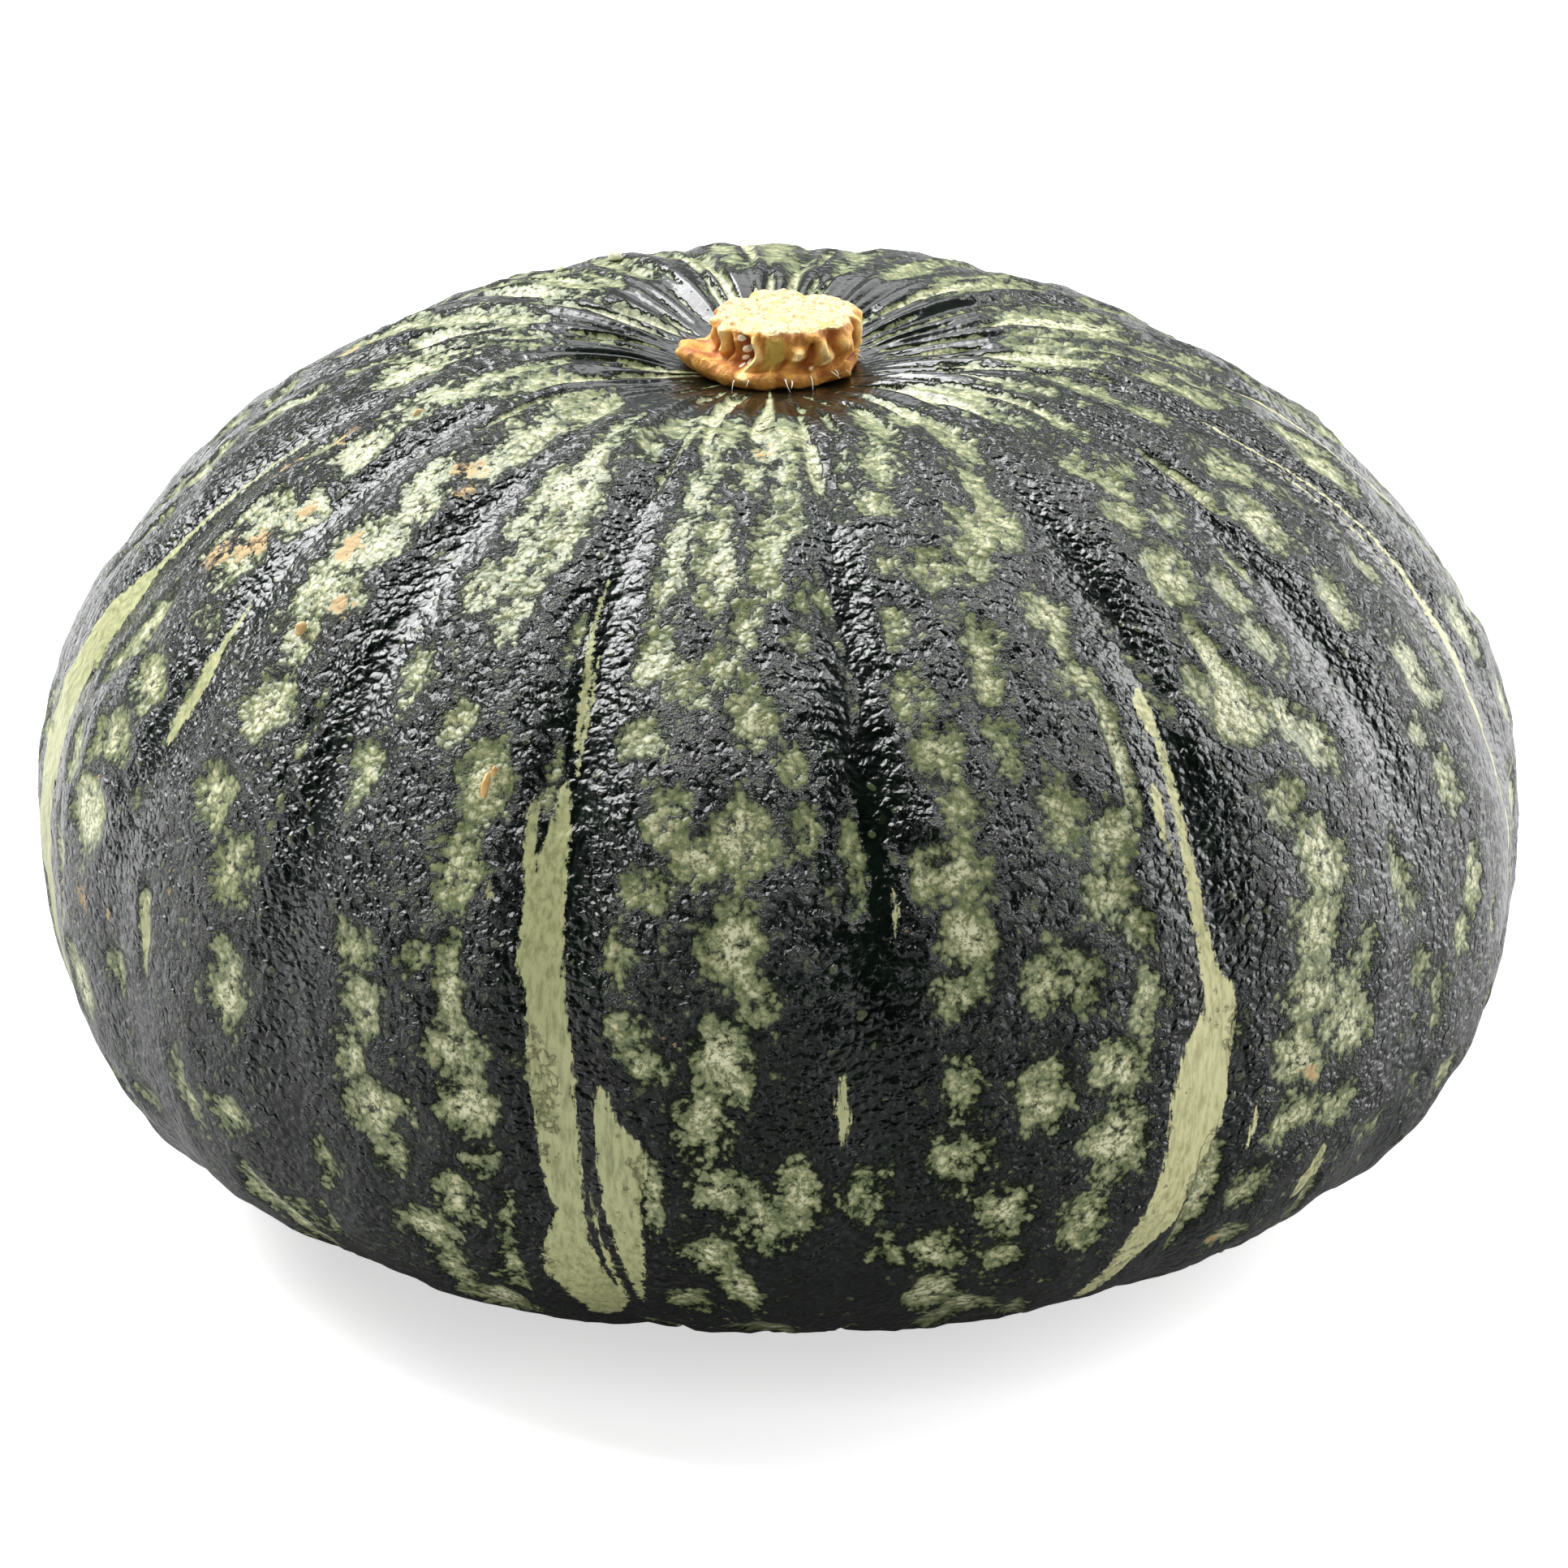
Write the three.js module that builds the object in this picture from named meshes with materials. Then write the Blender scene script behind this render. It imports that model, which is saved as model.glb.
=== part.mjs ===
// A buttercup squash: one grown fruit with shallow ribs, and the corky stub of its stem.
// Millimetres, +Z up. The origin is the centre of the flat spot that the squash rests on.
import * as THREE from 'three';

// The fruit's profile, measured from the level of its widest ring.
const WIDEST_RADIUS = 91.6;
const SHOULDER_RISE = 64.2;
const BASE_DROP = 52.5;
const SHOULDER_FULLNESS = 1.92;
const BASE_FULLNESS = 3.0;
const RESTING_DROP = 51.9;
const STEM_DIP_DEPTH = 10.8;
const STEM_DIP_WIDTH = 26;
const STEM_SEAT_RADIUS = 12.6;

// Ribs: the bearing of each groove between them at the stem, in degrees from the front and
// positive to the right, how far it has wandered by the time it reaches the base, and its depth.
const GROOVES = [
  { bearing: -79, drift: 2, depth: 1.0 },
  { bearing: -59, drift: -1, depth: 0.9 },
  { bearing: -39.5, drift: 1, depth: 0.9 },
  { bearing: -20, drift: 8.5, depth: 1.6 },
  { bearing: 6.5, drift: 0, depth: 0.7 },
  { bearing: 35, drift: -2, depth: 1.1 },
  { bearing: 57, drift: -1, depth: 0.8 },
  { bearing: 77, drift: 2, depth: 1.0 },
  { bearing: 99, drift: 1, depth: 0.9 },
  { bearing: 122, drift: -2, depth: 1.1 },
  { bearing: 147, drift: 1, depth: 0.8 },
  { bearing: 171, drift: 2, depth: 1.5 },
  { bearing: 195, drift: -1, depth: 0.8 },
  { bearing: 217, drift: 1, depth: 1.0 },
  { bearing: 239, drift: -2, depth: 0.9 },
  { bearing: 260, drift: 0, depth: 1.1 },
];
const GROOVE_WIDTH_DEGREES = 5.2;
const RIB_ARCH = 0.6;

// The fruit grew slightly lopsided: it leans to the right, and its crown sits to the left.
const LEAN = 0.017;
const CROWN_SHIFT = -2.1;
const CROWN_SHIFT_REACH = 45;

// The stem stub: a flared foot, a waist and a level cut face.
const STEM_GAP = 0.3;
const STEM_FOOT_RADIUS = 11.3;
const STEM_WAIST_RADIUS = 8.6;
const STEM_TOP_RADIUS = 9.0;
const STEM_HEIGHT = 6.2;
const STEM_FOLDS = 7;
const STEM_FOLD_DEPTH = 0.45;

// How finely each surface is divided.
const BODY_COLUMNS = 96;
const BODY_ROWS = 40;
const STEM_COLUMNS = 42;
const STEM_ROWS = 9;

const FULL_TURN = 2 * Math.PI;
const smooth = (value) => {
  const x = Math.min(1, Math.max(0, value));
  return x * x * (3 - 2 * x);
};

// Radius and height of the plain profile at a slope angle from the crown (90 degrees) through
// the widest ring (0) to the base (-90): a superellipse, with a bell-shaped dip at the stem.
function profile(angle) {
  const across = Math.cos(angle);
  const along = Math.sin(angle);
  const fullness = along > 0 ? SHOULDER_FULLNESS : BASE_FULLNESS;
  const reach = (across ** fullness + Math.abs(along) ** fullness) ** (-1 / fullness);
  const radius = WIDEST_RADIUS * reach * across;
  const dip = along > 0 ? STEM_DIP_DEPTH * Math.exp(-((radius / STEM_DIP_WIDTH) ** 2)) : 0;
  const rise = (along > 0 ? SHOULDER_RISE : BASE_DROP) * reach * along - dip;
  return { radius, height: rise + RESTING_DROP };
}

// The slope angle between low and high at which a quantity that grows with it reaches zero.
function angleWhere(quantity, low, high) {
  for (let step = 0; step < 50; step += 1) {
    const middle = (low + high) / 2;
    if (quantity(middle) > 0) {
      high = middle;
    } else {
      low = middle;
    }
  }
  return (low + high) / 2;
}

const SEAT_ANGLE = angleWhere((a) => STEM_SEAT_RADIUS - profile(a).radius, 0.5, Math.PI / 2);
const BASE_ANGLE = angleWhere((a) => profile(a).height, -Math.PI / 2, 0);
const SEAT_HEIGHT = profile(SEAT_ANGLE).height;

// Height of the ribs above the plain profile: a low arch from groove to groove, less a rounded
// groove at each one. "down" is 0 at the stem and 1 at the base.
function ribRelief(bearing, down) {
  let since = 360;
  let until = 360;
  let cut = 0;
  GROOVES.forEach((groove) => {
    const place = groove.bearing + groove.drift * smooth(down);
    const offset = THREE.MathUtils.euclideanModulo(bearing - place, 360);
    since = Math.min(since, offset);
    until = Math.min(until, 360 - offset);
    const away = Math.min(offset, 360 - offset) / GROOVE_WIDTH_DEGREES;
    cut += groove.depth * Math.exp(-(away ** 2));
  });
  return RIB_ARCH * Math.sin((Math.PI * since) / (since + until)) - cut;
}

// One point of the fruit's surface.
function bodyPoint(down, bearing) {
  const plain = profile(SEAT_ANGLE + (BASE_ANGLE - SEAT_ANGLE) * down);
  const ribFade = smooth(down / 0.22) * smooth((1 - down) / 0.12);
  const radius = plain.radius + ribFade * ribRelief(bearing, down);
  const turn = THREE.MathUtils.degToRad(bearing);
  const crown = CROWN_SHIFT * Math.exp(-((radius / CROWN_SHIFT_REACH) ** 2)) * smooth(2 - 4 * down);
  const aboveWidest = plain.height - RESTING_DROP;
  const x = radius * Math.sin(turn) + crown + LEAN * Math.max(0, aboveWidest);
  const leanFade = smooth(plain.height / RESTING_DROP) * smooth(down / 0.15);
  return new THREE.Vector3(x, -radius * Math.cos(turn), plain.height - LEAN * x * leanFade);
}

// A closed surface from rings of points: bands of triangles between rings, and a fan of
// triangles from a centre point at each end. The rings run from the top down.
function closedSurface(rings) {
  const columns = rings[0].length;
  const positions = [];
  const faces = [];
  const centreOf = (ring) => {
    const sum = new THREE.Vector3();
    ring.forEach((point) => sum.add(point));
    return sum.divideScalar(columns);
  };
  rings.flat().forEach((point) => positions.push(point.x, point.y, point.z));
  const top = centreOf(rings[0]);
  const bottom = centreOf(rings[rings.length - 1]);
  positions.push(top.x, top.y, top.z, bottom.x, bottom.y, bottom.z);
  const topIndex = rings.length * columns;
  const bottomIndex = topIndex + 1;
  const lastRing = (rings.length - 1) * columns;
  for (let column = 0; column < columns; column += 1) {
    const next = (column + 1) % columns;
    faces.push(topIndex, column, next);
    faces.push(bottomIndex, lastRing + next, lastRing + column);
    for (let start = 0; start < lastRing; start += columns) {
      const below = start + columns;
      faces.push(start + column, below + column, below + next);
      faces.push(start + column, below + next, start + next);
    }
  }
  const geometry = new THREE.BufferGeometry();
  geometry.setAttribute('position', new THREE.Float32BufferAttribute(positions, 3));
  geometry.setIndex(faces);
  geometry.computeVertexNormals();
  return geometry;
}

function squashBody() {
  const rings = [];
  for (let row = 0; row <= BODY_ROWS; row += 1) {
    const ring = [];
    for (let column = 0; column < BODY_COLUMNS; column += 1) {
      ring.push(bodyPoint(row / BODY_ROWS, (360 * column) / BODY_COLUMNS));
    }
    rings.push(ring);
  }
  const rind = new THREE.MeshStandardMaterial({ color: 0x2b3a1e, roughness: 0.42, metalness: 0 });
  const mesh = new THREE.Mesh(closedSurface(rings), rind);
  mesh.name = 'squash_body';
  return mesh;
}

// The stub's rings climb from the foot through the waist to the cut face, with upright folds
// round the side.
function stemStub() {
  const rings = [];
  for (let row = 0; row <= STEM_ROWS; row += 1) {
    const up = 1 - row / STEM_ROWS;
    const flare = (STEM_FOOT_RADIUS - STEM_WAIST_RADIUS) * (1 - up) ** 3;
    const lip = (STEM_TOP_RADIUS - STEM_WAIST_RADIUS) * smooth(up / 0.9);
    const ring = [];
    for (let column = 0; column < STEM_COLUMNS; column += 1) {
      const turn = (FULL_TURN * column) / STEM_COLUMNS;
      const fold = STEM_FOLD_DEPTH * (1 - 0.5 * up) * Math.sin(STEM_FOLDS * turn);
      const radius = STEM_WAIST_RADIUS + flare + lip + fold;
      ring.push(new THREE.Vector3(radius * Math.sin(turn), -radius * Math.cos(turn), up * STEM_HEIGHT));
    }
    rings.push(ring);
  }
  const cork = new THREE.MeshStandardMaterial({ color: 0xb98f4e, roughness: 0.8, metalness: 0 });
  const mesh = new THREE.Mesh(closedSurface(rings), cork);
  mesh.name = 'stem_stub';
  mesh.position.set(CROWN_SHIFT + LEAN * (SEAT_HEIGHT - RESTING_DROP), 0, SEAT_HEIGHT + STEM_GAP);
  return mesh;
}

const squash = new THREE.Group();
squash.add(squashBody());
squash.add(stemStub());

export default squash;
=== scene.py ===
"""Builds the looks of a buttercup squash round its CAD model: the ribbed and mottled fruit, its
warts, the cut stub of its stem with a few dry fibres, and a plain studio round them."""

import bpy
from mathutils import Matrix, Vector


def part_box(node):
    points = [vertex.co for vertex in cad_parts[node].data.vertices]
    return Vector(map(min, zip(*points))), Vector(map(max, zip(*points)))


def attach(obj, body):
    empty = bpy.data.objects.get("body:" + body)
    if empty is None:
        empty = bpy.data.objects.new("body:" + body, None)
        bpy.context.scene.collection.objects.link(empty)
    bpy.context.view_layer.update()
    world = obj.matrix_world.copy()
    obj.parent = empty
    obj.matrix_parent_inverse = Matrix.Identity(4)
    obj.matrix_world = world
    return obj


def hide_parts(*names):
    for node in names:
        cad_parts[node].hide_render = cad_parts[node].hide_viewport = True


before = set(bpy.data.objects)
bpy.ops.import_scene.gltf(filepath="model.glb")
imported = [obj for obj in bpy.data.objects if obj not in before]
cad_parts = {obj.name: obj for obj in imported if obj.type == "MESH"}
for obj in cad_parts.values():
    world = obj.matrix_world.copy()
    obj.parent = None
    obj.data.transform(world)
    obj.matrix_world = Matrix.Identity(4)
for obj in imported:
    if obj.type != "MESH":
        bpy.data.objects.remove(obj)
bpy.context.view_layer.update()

import itertools
import math

import bpy
import numpy as np
from mathutils import Vector

bl_info = {
    "name": "Buttercup squash",
    "version": (1, 0, 0),
    "blender": (4, 5, 0),
    "location": "3D View > Sidebar > Squash",
    "description": "Makes a ribbed, mottled squash with a cut corky stem, and a plain studio for it",
    "category": "Add Mesh",
}

MILLIMETRE = 0.001

# ---- The fruit's form -------------------------------------------------------------------------

# Lengths are in millimetres and bearings in degrees: 0 is the front, which looks along -Y, and
# positive bearings turn to the right. "Arc" is the length along the skin from the middle of the
# stem seat.

SHOULDER_RISE = 64.2
BASE_DROP = 52.5
SHOULDER_FULLNESS = 1.92
BASE_FULLNESS = 3.0
RESTING_DROP = 51.9
STEM_DIP_DEPTH = 10.8
STEM_DIP_WIDTH = 26.0
LEAN = 0.017
CROWN_SHIFT = -2.1
CROWN_SHIFT_REACH = 45.0
CROWN_SHIFT_FADE = 20.0
PROFILE_POINTS = 6001
BLOSSOM_DENT = 1.6
BLOSSOM_DENT_RADIUS = 7.0

# Each groove between two ribs: its bearing at the stem, how far it wanders by the base, its depth.
GROOVES = [
    (-79, 2, 1.0), (-59, -1, 0.9), (-39.5, 1, 0.9), (-20, 8.5, 1.6),
    (6.5, 0, 0.7), (35, -2, 1.1), (57, -1, 0.8), (77, 2, 1.0),
    (99, 1, 0.9), (122, -2, 1.1), (147, 1, 0.8), (171, 2, 1.5),
    (195, -1, 0.8), (217, 1, 1.0), (239, -2, 0.9), (260, 0, 1.1),
]
GROOVE_WIDTH = 4.2
GROOVE_CORE_WIDTH = 3.6
RIB_ARCH = 0.6
# The ribs start at this arc and grow over the next length; they end as far from the base's middle.
RIBS_START, RIBS_GROW = 12.0, 62.0
RIBS_END, RIBS_FADE = 34.0, 25.0

RIND_COLUMNS = 480
RIND_ROWS = 204


def smooth(value):
    """An S-shaped step from 0 to 1: 3t^2 - 2t^3 of the value held between 0 and 1."""
    held = np.clip(value, 0.0, 1.0)
    return held * held * (3.0 - 2.0 * held)


def bell(value):
    """A bell shape that is 1 at 0: e to the power of minus the value squared."""
    return np.exp(-(value**2))


def lattice_noise(points, seed):
    """A smooth random field of about -1 to 1. Every whole-number corner has a random slope, and a
    point blends the slopes of its eight corners with an S-shaped weight along each axis."""
    random = np.random.default_rng(seed)
    order = random.permutation(256)
    slopes = random.normal(size=(256, 3))
    slopes /= np.linalg.norm(slopes, axis=1, keepdims=True)
    corner = np.floor(points).astype(np.int64)
    inside = points - corner
    ease = inside**3 * (inside * (inside * 6.0 - 15.0) + 10.0)
    total = np.zeros(points.shape[:-1])
    for step in itertools.product((0, 1), repeat=3):
        x, y, z = np.moveaxis((corner + step) % 256, -1, 0)
        slope = slopes[order[(order[(order[x] + y) % 256] + z) % 256]]
        weight = np.prod(np.where(np.array(step) == 1, ease, 1.0 - ease), axis=-1)
        total += weight * np.sum(slope * (inside - step), axis=-1)
    return total * 1.6


def wrap(degrees):
    """The same bearing between -180 and 180."""
    return (degrees + 180.0) % 360.0 - 180.0


def meridian(widest):
    """Radius, height and arc along the plain profile from the crown to the middle of the base.
    It is a superellipse, fuller below than above, with a bell-shaped dip for the stem, cut off
    level at the resting height and dented a little where the blossom was."""
    slope = np.linspace(math.pi / 2, -math.pi / 2, PROFILE_POINTS)
    across, along = np.abs(np.cos(slope)), np.sin(slope)
    above = along > 0
    fullness = np.where(above, SHOULDER_FULLNESS, BASE_FULLNESS)
    reach = (across**fullness + np.abs(along) ** fullness) ** (-1.0 / fullness)
    radius = widest * reach * across
    dip = np.where(above, STEM_DIP_DEPTH * bell(radius / STEM_DIP_WIDTH), 0.0)
    height = np.where(above, SHOULDER_RISE, BASE_DROP) * reach * along - dip + RESTING_DROP
    dent = np.where(above, 0.0, BLOSSOM_DENT * bell(radius / BLOSSOM_DENT_RADIUS))
    height = np.maximum(height, 0.0) + dent
    arc = np.concatenate([[0.0], np.cumsum(np.hypot(np.diff(radius), np.diff(height)))])
    return radius, height, arc


def skin_size(settings):
    """The radius of the widest ring and the arc from the stem seat to the middle of the base."""
    widest = settings.widest_radius / MILLIMETRE
    return widest, meridian(widest)[2][-1]


def skin_point(bearing, arc, widest):
    """A point of the plain skin: the profile turned to its bearing, the crown slid sideways by a
    bell-shaped amount, and everything above the base leaned a little to the right."""
    radii, heights, arcs = meridian(widest)
    radius, height = np.interp(arc, arcs, radii), np.interp(arc, arcs, heights)
    turn = np.radians(bearing)
    crown = CROWN_SHIFT * bell(radius / CROWN_SHIFT_REACH)
    crown = crown * smooth((height - RESTING_DROP) / CROWN_SHIFT_FADE)
    x = radius * np.sin(turn) + crown + LEAN * np.maximum(0.0, height - RESTING_DROP)
    z = height - LEAN * x * smooth(height / RESTING_DROP)
    return np.stack([x, -radius * np.cos(turn), z], axis=-1)


def rib_fields(bearing, arc, length, depth_factor):
    """Height of the ribs, and a 0 to 1 field that is 1 in the middle of a groove. A rib is a low
    arch from groove to groove, and a groove is a bell-shaped cut that wanders from the stem to the
    base. Ribs are lower past the widest ring."""
    since = np.full(bearing.shape, 360.0)
    until = np.full(bearing.shape, 360.0)
    cut = np.zeros(bearing.shape)
    groove = np.zeros(bearing.shape)
    down = smooth(arc / length)
    for start, drift, depth in GROOVES:
        ahead = (bearing - (start + drift * down)) % 360.0
        since, until = np.minimum(since, ahead), np.minimum(until, 360.0 - ahead)
        away = np.minimum(ahead, 360.0 - ahead)
        cut += depth * bell(away / GROOVE_WIDTH)
        groove = np.maximum(groove, bell(away / GROOVE_CORE_WIDTH))
    arch = RIB_ARCH * np.sin(np.pi * since / (since + until))
    along = smooth((arc - RIBS_START) / RIBS_GROW) * smooth((length - RIBS_END - arc) / RIBS_FADE)
    along = along * (1.0 - 0.3 * smooth((arc - 90.0) / 35.0))
    return (arch - cut * depth_factor) * along, groove * along


# Sage patches on the front: bearing, arc, half width in degrees, half length in millimetres.
FRONT_PATCHES = [
    (-87, 25, 4, 6), (-86, 46, 5, 5), (-70, 30, 2, 8), (-63, 33, 2.5, 7), (-50, 27, 2.6, 9),
    (-43, 32, 3, 5), (-68, 43, 2.5, 6), (-73, 46, 2, 4), (-44, 43, 3.5, 6), (-46, 50, 3, 3),
    (-31, 43, 3, 7), (-33, 49, 3.5, 5), (-29, 54, 2, 4), (-24.5, 38, 1.3, 2), (-17, 28, 1.5, 4),
    (-22, 32, 2.6, 3), (-10, 30, 2.6, 3.5), (-11, 40, 2, 4.5), (-5, 42, 2, 2.5), (-1.5, 36, 2.5, 4),
    (-13, 48, 2, 4), (-14, 56, 1.8, 5), (-8.5, 53, 1.5, 4), (-8, 60, 1.8, 5), (-13.5, 63, 2, 3.5),
    (-1.5, 53, 1.8, 4), (-2, 59, 1.4, 3), (-4, 67, 1.5, 3), (-6, 73, 1.4, 2.5), (-9, 75, 1.6, 3),
    (-13, 72, 2.2, 4), (-27, 58, 1.5, 4.5), (-31.5, 60, 1.5, 3.5), (-35, 56, 2, 4),
    (-34, 67, 2.4, 3.5), (-29, 68, 1.8, 4), (-52, 55, 2.3, 3), (-49, 59, 3, 3), (-53, 68, 3, 4),
    (-49, 66, 2, 3), (-54, 75, 2, 5), (-49, 74, 3, 2.5), (-50, 81, 2, 3), (-49, 90, 2.5, 4),
    (-67, 57, 3.5, 4), (-63, 67, 3.5, 4), (-68, 70, 2, 3), (-65, 77, 3, 3), (-75, 60, 2.3, 3),
    (-72, 90, 2, 5), (-62, 84, 2.4, 2), (-13, 83, 2.5, 3), (-3, 79, 2.2, 4), (-36, 80, 2, 5),
    (-37, 93, 2.5, 5.5), (-29.5, 85, 1.5, 3), (-25, 91, 1.8, 5), (-26, 101, 2, 5),
    (-9.5, 92, 2, 3), (-7, 97, 2, 3), (-3.5, 94, 2, 4.5), (1.5, 34, 3.2, 5), (1.5, 43, 2.2, 4),
    (2, 50, 2, 3.5), (7, 49, 2.1, 4), (13.5, 48.5, 2.6, 2), (16.5, 41, 2.7, 3.5), (10, 44, 1.2, 3),
    (12, 57.5, 1.3, 1.5), (17.5, 60, 2.3, 2.3), (22.5, 58, 1.7, 3), (25.5, 54, 2, 3),
    (30, 53, 3, 5.5), (34, 38, 2.8, 6), (30.5, 46, 2.5, 4), (21, 31, 2.6, 5), (28, 30, 2.2, 3),
    (49, 33, 1.8, 5), (56, 42, 2, 5), (47.5, 48.5, 1.9, 2), (49, 53, 2, 2.3), (54.5, 51, 2.2, 2.5),
    (46, 58, 2, 2.5), (55, 59, 2.4, 5), (51, 61.5, 1.6, 2), (63, 29, 1.8, 6), (73, 40, 2.8, 4.5),
    (73, 47, 2.4, 3.5), (68.5, 58, 2.2, 3), (73, 60, 1.9, 6), (75.5, 68, 1.8, 4), (76, 73, 1.8, 3),
    (74, 79, 2.2, 3.5), (82, 30, 2.6, 5), (86, 37, 3.2, 3), (87, 49, 3, 5), (87, 70, 2.6, 4),
    (45, 67, 2.6, 4), (64, 66, 2.8, 5), (52, 72, 1.7, 3.5), (51, 79, 1.8, 3), (63.5, 79, 2, 3.5),
    (11.5, 67, 1.7, 2.5), (2, 63, 1.2, 2), (2, 69, 1.3, 2), (28.5, 68, 2.8, 3), (19.5, 72, 1.7, 3),
    (11, 77, 2.6, 3), (29, 77, 2.4, 2.2), (13, 84, 2.2, 3.5), (19.2, 84, 1.3, 3), (1.5, 85, 1.2, 3),
    (14.5, 91, 1.2, 2), (23, 94, 1.5, 4), (14, 98, 2, 4), (27, 97, 1.9, 3.5), (9, 97, 0.9, 2),
    (50.5, 93, 2.4, 3), (44, 97, 2, 2), (63, 97, 1.3, 1.5), (68, 92, 2, 4.5), (75, 93, 1.6, 6),
    (-65, 95, 3, 3.5), (-66, 103, 2.4, 2.5), (-67, 113, 3, 5), (-73, 108, 1.4, 4), (-60, 108, 1.5, 4),
    (-50, 102, 2, 3.5), (-46, 109, 2, 4.5), (-33.5, 113, 1.8, 2.2), (-27.5, 112, 1, 1.5),
    (-11, 101, 1.9, 2.5), (-3.5, 107, 2, 5), (-12.5, 109, 1.4, 3), (-1.5, 113, 1.5, 3),
    (-11.5, 117, 1.4, 2), (-4, 120, 1.9, 4.5), (-10, 121.5, 1.4, 2.3), (-45, 123, 2, 5),
    (-32, 120, 1.7, 3), (-24, 122, 2, 3), (-33.5, 126, 1.8, 3), (-31, 132, 2.4, 3),
    (-23, 129, 2, 3.5), (-61, 130, 2, 4), (-30, 138, 1.4, 2.5), (-22, 136, 1.1, 1.4),
    (-37, 142, 1.7, 5), (-46, 140, 1.7, 2), (-52, 140, 1, 4), (-60.5, 147, 2.4, 3),
    (-5.5, 128, 1.6, 4), (-4, 137, 1.9, 2.5), (-25, 142, 1.9, 2.7), (-28, 148, 2.4, 2.7),
    (-27, 155, 1.5, 4), (-5.5, 146, 2, 3), (-41, 153, 1.5, 3), (-46, 153, 2, 4), (-25, 163, 2.8, 3.5),
    (-1, 141, 1.4, 3), (-7.5, 157, 1.5, 3), (1.5, 93, 1.4, 3), (14, 106, 2.2, 3.5), (13, 112, 2, 2),
    (5, 111, 0.8, 3), (4, 101, 1, 2), (19.5, 112, 1.5, 3), (22.5, 112, 1.2, 3), (27.5, 108, 1, 2),
    (28, 116, 1.3, 3.7), (26, 103, 2, 2.5), (46, 105, 2.4, 3.7), (44, 113, 2.4, 4), (43, 121, 3, 3.7),
    (47, 127, 2.4, 3.5), (42, 129, 2.4, 4), (42, 137, 2.4, 2.5), (46.5, 138, 1.5, 2),
    (56.5, 115, 1.8, 5), (57, 125, 1.9, 4.5), (60, 129, 1.4, 2.5), (64.5, 105, 1.4, 3),
    (64, 124, 1.2, 2.4), (70.5, 126, 1.3, 2.4), (56.5, 132, 1.4, 2.5), (54, 145, 2.8, 2.5),
    (58, 141, 2.4, 2), (65, 144, 1.9, 3), (19, 126, 1.7, 3.5), (25.5, 124, 2.3, 3.5),
    (25.5, 134, 2.3, 4.5), (13, 124, 1, 3), (13, 134, 1.7, 3.5), (17, 141, 1.9, 3.3),
    (1.5, 137, 1.7, 4), (12, 147, 2.1, 3.7), (23.5, 145, 1.7, 4.5), (17, 149, 1.4, 2.5),
    (7, 139, 1.5, 4), (8, 146, 1.8, 3), (43, 85, 3.6, 5), (48, 88, 2.5, 3), (40, 81, 1.6, 2.5),
    (84, 95, 2, 4), (88, 108, 2.4, 3.5), (83, 120, 1.8, 4), (90, 128, 2, 3.5), (86, 140, 2.2, 4),
    (79, 137, 1.6, 3), (92, 151, 2, 3), (82, 153, 1.8, 3), (71, 152, 2, 3), (-75, 123, 2.2, 4),
    (-87, 128, 2.4, 3.5), (-70, 137, 2, 4), (-77, 141, 2, 3), (-88, 143, 2.2, 4), (-76, 153, 2.2, 3),
    (-86, 112, 2, 3.4), (-68, 151, 2, 3), (-87, 158, 2, 3), (-74, 97, 1.6, 4),
    (12, 156, 2.3, 3.5), (38, 146, 1.9, 3), (39, 155, 2.3, 3), (55, 152, 1.9, 2), (16, 161, 2, 3),
]
HIDDEN_SIDE = 90.0
FRONT_BOTTOM_ARC = 166.0
WIDE_RIB = 19
PATCH_SEED = 31


def scattered_patches(length):
    """Patches for the rest of the rind, strung along each rib as on the front: they start as long
    streaks near the stem and get shorter and rounder, in two loose files to a wide rib."""
    random = np.random.default_rng(PATCH_SEED)
    bearings = [groove[0] for groove in GROOVES]
    patches = []
    for left, right in zip(bearings, bearings[1:] + [bearings[0] + 360]):
        files = 2 if right - left > WIDE_RIB else 1
        for file in range(files):
            arc = 24.0 + 9.0 * random.random()
            while arc < length - 40.0:
                middle = left + (right - left) * (file + 0.5) / files
                bearing = wrap(middle + random.normal(0.0, 2.2))
                young = 1.0 - smooth((arc - 25.0) / 60.0)
                half_width = random.uniform(1.3, 2.9)
                half_length = random.uniform(2.0, 4.6) * (1.0 + 0.7 * young)
                if abs(bearing) > HIDDEN_SIDE or arc > FRONT_BOTTOM_ARC:
                    patches.append((bearing, arc, half_width, half_length))
                arc += half_length + random.uniform(2.5, 8.5)
    return patches


FAR_OUTSIDE = -1.7


def depth_inside(bearing, arc, ovals, widest):
    """Millimetres to the nearest edge of a set of ovals, more than 0 inside one: for each oval, one
    less the distance to its centre in its own half sizes, times its smaller half size."""
    radius, _, arcs = meridian(widest)
    depth = np.full(bearing.shape, FAR_OUTSIDE)
    for centre, centre_arc, half_width, half_length in ovals:
        across = half_width * math.radians(np.interp(centre_arc, arcs, radius))
        distance = np.hypot(wrap(bearing - centre) / half_width, (arc - centre_arc) / half_length)
        depth = np.maximum(depth, (1.0 - distance) * min(across, half_length))
    return depth


def patch_field(bearing, arc, place, patches, widest):
    """Depth inside the sage patches, after the skin is warped by broad noise."""
    sideways = bearing + 1.1 * lattice_noise(place / 4.5, 5)
    down = arc + 1.6 * lattice_noise(place / 5.5, 6)
    return depth_inside(sideways, down, patches, widest)


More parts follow.
